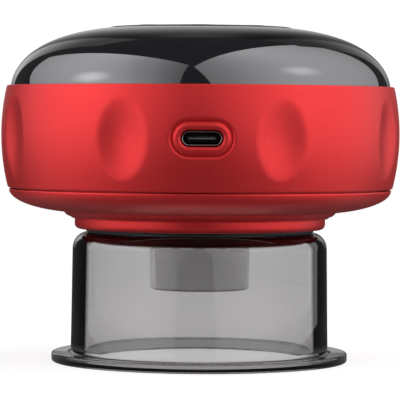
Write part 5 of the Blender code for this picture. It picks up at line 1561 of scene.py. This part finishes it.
@dataclass
class Softbox:
    """A flat soft light, placed by where its middle line points and how far its edges reach.

    Attributes:
        name: its name.
        azimuth: where it stands, in degrees round from the front, to the right.
        elevation: how high its facing line is, in degrees.
        roll: how far it leans, in degrees.
        left, right, low, high: its edges about the facing line, at a distance of one metre.
        distance: its distance in metres.
        radiance: how bright its face is, where 1 is white.
        fall: how bright it is along its width: places from 0 to 1, each with a share.
        lamp: where its lamp shines through: the place across and along, and the glow's reach there.
        glow: how much brighter it is there.
    """

    name: str
    azimuth: float
    elevation: float
    roll: float
    left: float
    right: float
    low: float
    high: float
    distance: float
    radiance: float
    fall: tuple[Point, ...] = ((0.0, 1.0), (1.0, 1.0))
    lamp: tuple[float, float, float, float] = (0.5, 0.5, 0.1, 0.1)
    glow: float = 0.0

    def build(self) -> None:
        """Hangs the light."""
        turn, rise, lean = (math.radians(v) for v in (self.azimuth, self.elevation, self.roll))
        away = Vector((math.sin(turn) * math.cos(rise), -math.cos(turn) * math.cos(rise), math.sin(rise)))
        side = Vector((0, 0, 1)).cross(away).normalized()
        up = away.cross(side)
        across = side * math.cos(lean) - up * math.sin(lean)
        along = side * math.sin(lean) + up * math.cos(lean)
        lamp = bpy.data.lights.new(self.name, "AREA")
        lamp.shape = "RECTANGLE"
        lamp.size = (self.right - self.left) * self.distance
        lamp.size_y = (self.high - self.low) * self.distance
        lamp.energy = self.radiance * math.pi * lamp.size * lamp.size_y
        self.shape_light(lamp)
        obj = bpy.data.objects.new(self.name, lamp)
        middle = away + across * (self.left + self.right) / 2 + along * (self.low + self.high) / 2
        obj.matrix_world = Matrix.Translation(middle * self.distance + Vector((0, 0, 0.06))) @ Matrix(
            (across, along, away)).transposed().to_4x4()
        obj.visible_camera = False
        bpy.context.scene.collection.objects.link(obj)
        log.info("%s: %.2f by %.2f m", self.name, lamp.size, lamp.size_y)

    def shape_light(self, lamp: bpy.types.Light) -> None:
        """Makes the light's face brighter over its lamp and dimmer towards its ends.

        Args:
            lamp: the light.
        """
        lamp.use_nodes = True
        lamp.node_tree.nodes.clear()
        tree = Tree(lamp.node_tree)
        place = tree.add("ShaderNodeNewGeometry").outputs["Parametric"]
        ramp = tree.add("ShaderNodeValToRGB", {
            0: tree.add("ShaderNodeSeparateXYZ", {0: place}).outputs[0]})
        ramp.color_ramp.interpolation = "B_SPLINE"
        stops = ramp.color_ramp.elements
        while len(stops) < len(self.fall):
            stops.new(0.5)
        for stop, (spot, share) in zip(stops, self.fall):
            stop.position, stop.color = spot, rgba(tuple(share * part for part in LIGHT_TINT))
        x, y, wide, tall = self.lamp
        off = tree.vector("MULTIPLY", tree.vector("SUBTRACT", place, (x, y, 0.0)),
                          (1 / wide, 1 / tall, 0.0))
        strength = tree.ramp(tree.vector("LENGTH", off), 0.0, 1.0, 1.0 + self.glow, 1.0, "SMOOTHERSTEP")
        glow = tree.add("ShaderNodeEmission", {"Color": ramp.outputs[0], "Strength": strength})
        tree.add("ShaderNodeOutputLight", {0: glow.outputs[0]})


# How the papers' glow in gloss is painted darker and brighter, as painted light: a direction, its start and
# end in metres, and the shares there
Fade = tuple[Corner, float, float, float, float]
# painted pools of light: the floor's glow in gloss is painted dark in front of and behind the object, and
# stays bright at its sides
FLOOR_PAINTED_LIGHT: tuple[Fade, ...] = (
    ((0.0, 1.0, 0.0), 0.01, 0.06, 1.0, 0.12), ((0.0, -1.0, 0.0), 0.07, 0.12, 1.0, 0.12))
# painted light: the backdrop's glow in gloss is painted dimmer towards its sides, in bright bands beyond
# them, and dimmer near the floor and towards the top
BACKDROP_PAINTED_LIGHT: tuple[Fade, ...] = (
    ((1.0, 0.0, 0.0), 0.0, 0.3, 1.0, 0.22), ((-1.0, 0.0, 0.0), 0.0, 0.34, 1.0, 0.3),
    ((1.0, 0.0, 0.0), 0.35, 0.42, 1.0, 3.0), ((-1.0, 0.0, 0.0), 0.33, 0.41, 1.0, 4.0),
    ((0.0, 0.0, 1.0), -0.3, 1.4, 1.0, 0.12), ((0.0, 0.0, 1.0), 0.05, 0.4, 0.25, 1.0))


@dataclass
class Studio:
    """A white sweep, two tall softboxes that glow over their lamps, and the camera.

    Its painted_foot_shade is a painted shadow in the papers' glow in gloss, which rises away from the
    object's foot, its level_reach where their own level changes, both in metres, and its shadow_share how
    much a shadow may darken them.
    """

    camera_distance: float = 0.627
    camera_height: float = 0.0565
    camera_azimuth: float = -0.45
    camera_pitch: float = 1.72
    camera_roll: float = 0.35
    lens: float = 241.0
    softboxes: tuple[Softbox, ...] = (
        Softbox("left_softbox", -84.4, 13.2, -34.1, -0.72, 2.43, -1.3, 1.42, 1.3, 1.52,
                ((0.0, 0.42), (0.25, 1.05), (0.4, 0.9), (0.51, 0.64), (0.72, 0.36), (1.0, 0.18)),
                (0.322, 0.522, 0.11, 0.12), 0.8),
        Softbox("right_softbox", 81.5, 15.8, 22.4, -3.05, 1.27, -1.2, 2.34, 1.3, 1.52,
                ((0.0, 0.36), (0.35, 0.48), (0.54, 0.76), (0.7, 1.05), (1.0, 0.36)),
                (0.642, 0.462, 0.08, 0.09), 0.6))
    world_level: float = 0.05
    backdrop_distance: float = 1.7
    backdrop_height: float = 1.8
    table_radius: float = 0.3
    backdrop_half: float = 26.0
    painted_foot_shade: tuple[float, ...] = (0.025, 0.1, 0.24, 1.0)
    level_reach: Point = (0.1, 0.28)
    shadow_share: float = 0.61

    def build(self) -> None:
        """Sets up the sweep, the lights, the world and the camera."""
        self.sweep()
        for softbox in self.softboxes:
            softbox.build()
        self.world()
        self.camera()

    def paper(self, name: str, shown: float, far: float, albedo: float, gloss: float,
              fades: Sequence[Fade]) -> bpy.types.Material:
        """White paper that looks white to the camera and in glass, keeps shadows, and is paler in gloss,
        with painted pools of light and a painted shadow there.

        Args:
            name: the material's name.
            shown: the diffuse share that camera and glass see, which carries the shadows.
            far: how bright it glows to them away from the object.
            albedo: the diffuse share that lights the object.
            gloss: how bright it is in gloss at its middle.
            fades: where that brightness is painted darker or brighter, as painted pools of light and shade.

        Returns:
            The material.
        """
        made = bpy.data.materials.new(name)
        made.use_nodes = True
        made.node_tree.nodes.clear()
        tree = Tree(made.node_tree)
        place = tree.add("ShaderNodeTexCoord").outputs["Object"]
        fibre = tree.spread(tree.noise(place, 900.0), 1.0, 0.01)
        rays = tree.add("ShaderNodeLightPath").outputs
        gloss_glow_and_painted_light = tree.math("MULTIPLY", gloss, rays["Is Glossy Ray"])
        # painted light: the fades paint the glow in gloss into pools and bands
        for direction, *reach in fades:
            way = tree.vector("DOT_PRODUCT", place, direction)
            gloss_glow_and_painted_light = tree.math("MULTIPLY", gloss_glow_and_painted_light, tree.ramp(way, *reach))
        # painted shadow: the glow in gloss is painted darker near the object's foot
        near = tree.vector("LENGTH", tree.vector("MULTIPLY", place, (1.0, 0.7, 1.0)))
        gloss_glow_and_painted_light = tree.math("MULTIPLY", gloss_glow_and_painted_light, tree.ramp(near, *self.painted_foot_shade))
        level = tree.ramp(tree.vector("LENGTH", place), *self.level_reach,
                          1.0 - self.shadow_share * shown, far)
        shares = []
        for share in (tree.math("MULTIPLY", fibre, shown),
                      tree.math("MULTIPLY", albedo, tree.math("SUBTRACT", 1.0, rays["Is Glossy Ray"]))):
            grey = tree.add("ShaderNodeCombineColor", {i: share for i in range(3)}).outputs[0]
            shares.append(tree.add("ShaderNodeBsdfDiffuse", {"Color": grey}).outputs[0])
        white = rgba((1, 1, 1))
        lights = [tree.add("ShaderNodeEmission", {"Color": white, "Strength": strength}).outputs[0]
                  for strength in (level, gloss_glow_and_painted_light)]
        plainly, otherwise = (tree.add("ShaderNodeAddShader", {0: share, 1: light}).outputs[0]
                              for share, light in zip(shares, lights))
        mixed = tree.add("ShaderNodeMixShader", {0: tree.seen(), 1: otherwise, 2: plainly}).outputs[0]
        tree.add("ShaderNodeOutputMaterial", {"Surface": mixed})
        return made

    def sweep(self) -> None:
        """Makes the floor and the curved backdrop behind it."""
        floor = bmesh.new()
        bmesh.ops.create_circle(floor, cap_ends=True, segments=96, radius=self.table_radius)
        ground = as_piece("floor", floor, WHITE_PLASTIC, outward=False)
        ground.data.materials[0] = self.paper("floor_paper", 0.5, 0.62, 0.3, 0.54, FLOOR_PAINTED_LIGHT)
        wall = bmesh.new()
        rows = []
        for height in (0.0, self.backdrop_height):
            rows.append([wall.verts.new((self.backdrop_distance * math.sin(a), self.backdrop_distance
                                         * math.cos(a), height))
                         for a in (math.radians(self.backdrop_half * (i / 20 - 1)) for i in range(41))])
        for i in range(40):
            wall.faces.new((rows[0][i], rows[0][i + 1], rows[1][i + 1], rows[1][i]))
        back = as_piece("backdrop", wall, WHITE_PLASTIC, outward=False)
        back.data.materials[0] = self.paper("backdrop_paper", 0.05, 1.0, 0.5, 1.1, BACKDROP_PAINTED_LIGHT)

    def world(self) -> None:
        """Makes a white surround to look at, and a faint grey one to light and reflect."""
        world = bpy.data.worlds.new("studio")
        bpy.context.scene.world = world
        world.use_nodes = True
        world.node_tree.nodes.clear()
        tree = Tree(world.node_tree)
        dim, white = (tree.add("ShaderNodeBackground", {"Color": rgba((1, 1, 1)), "Strength": strength})
                      for strength in (self.world_level, 1.0))
        mixed = tree.add("ShaderNodeMixShader", {0: tree.seen(), 1: dim.outputs[0], 2: white.outputs[0]})
        tree.add("ShaderNodeOutputWorld", {"Surface": mixed.outputs[0]})

    def camera(self) -> None:
        """Puts the camera where the photograph was taken from."""
        data = bpy.data.cameras.new("portrait")
        data.lens = self.lens
        data.sensor_width = 36.0
        data.sensor_fit = "HORIZONTAL"
        data.clip_start, data.clip_end = 0.01, 50.0
        obj = bpy.data.objects.new("portrait", data)
        obj.matrix_world = Matrix.Rotation(math.radians(self.camera_azimuth), 4, "Z") @ Matrix.Translation(
            (0.0, -self.camera_distance, self.camera_height)) @ Matrix.Rotation(
            QUARTER - math.radians(self.camera_pitch), 4, "X") @ Matrix.Rotation(
            math.radians(self.camera_roll), 4, "Z")
        bpy.context.scene.collection.objects.link(obj)
        bpy.context.scene.camera = obj


def main() -> None:
    """Builds every sub-assembly in order, then the studio."""
    logging.basicConfig(level=logging.INFO, format="%(name)s: %(message)s")
    Innards().dress()
    for assembly in (SuctionCup(), Neck(), LampHead(), LowerCover(), MainShell(), ChargingPort(),
                     TopCover()):
        log.info("building %s", type(assembly).__name__)
        assembly.build()
    Studio().build()
    bpy.context.scene.view_settings.view_transform = "Standard"


if __name__ == "__main__":
    main()
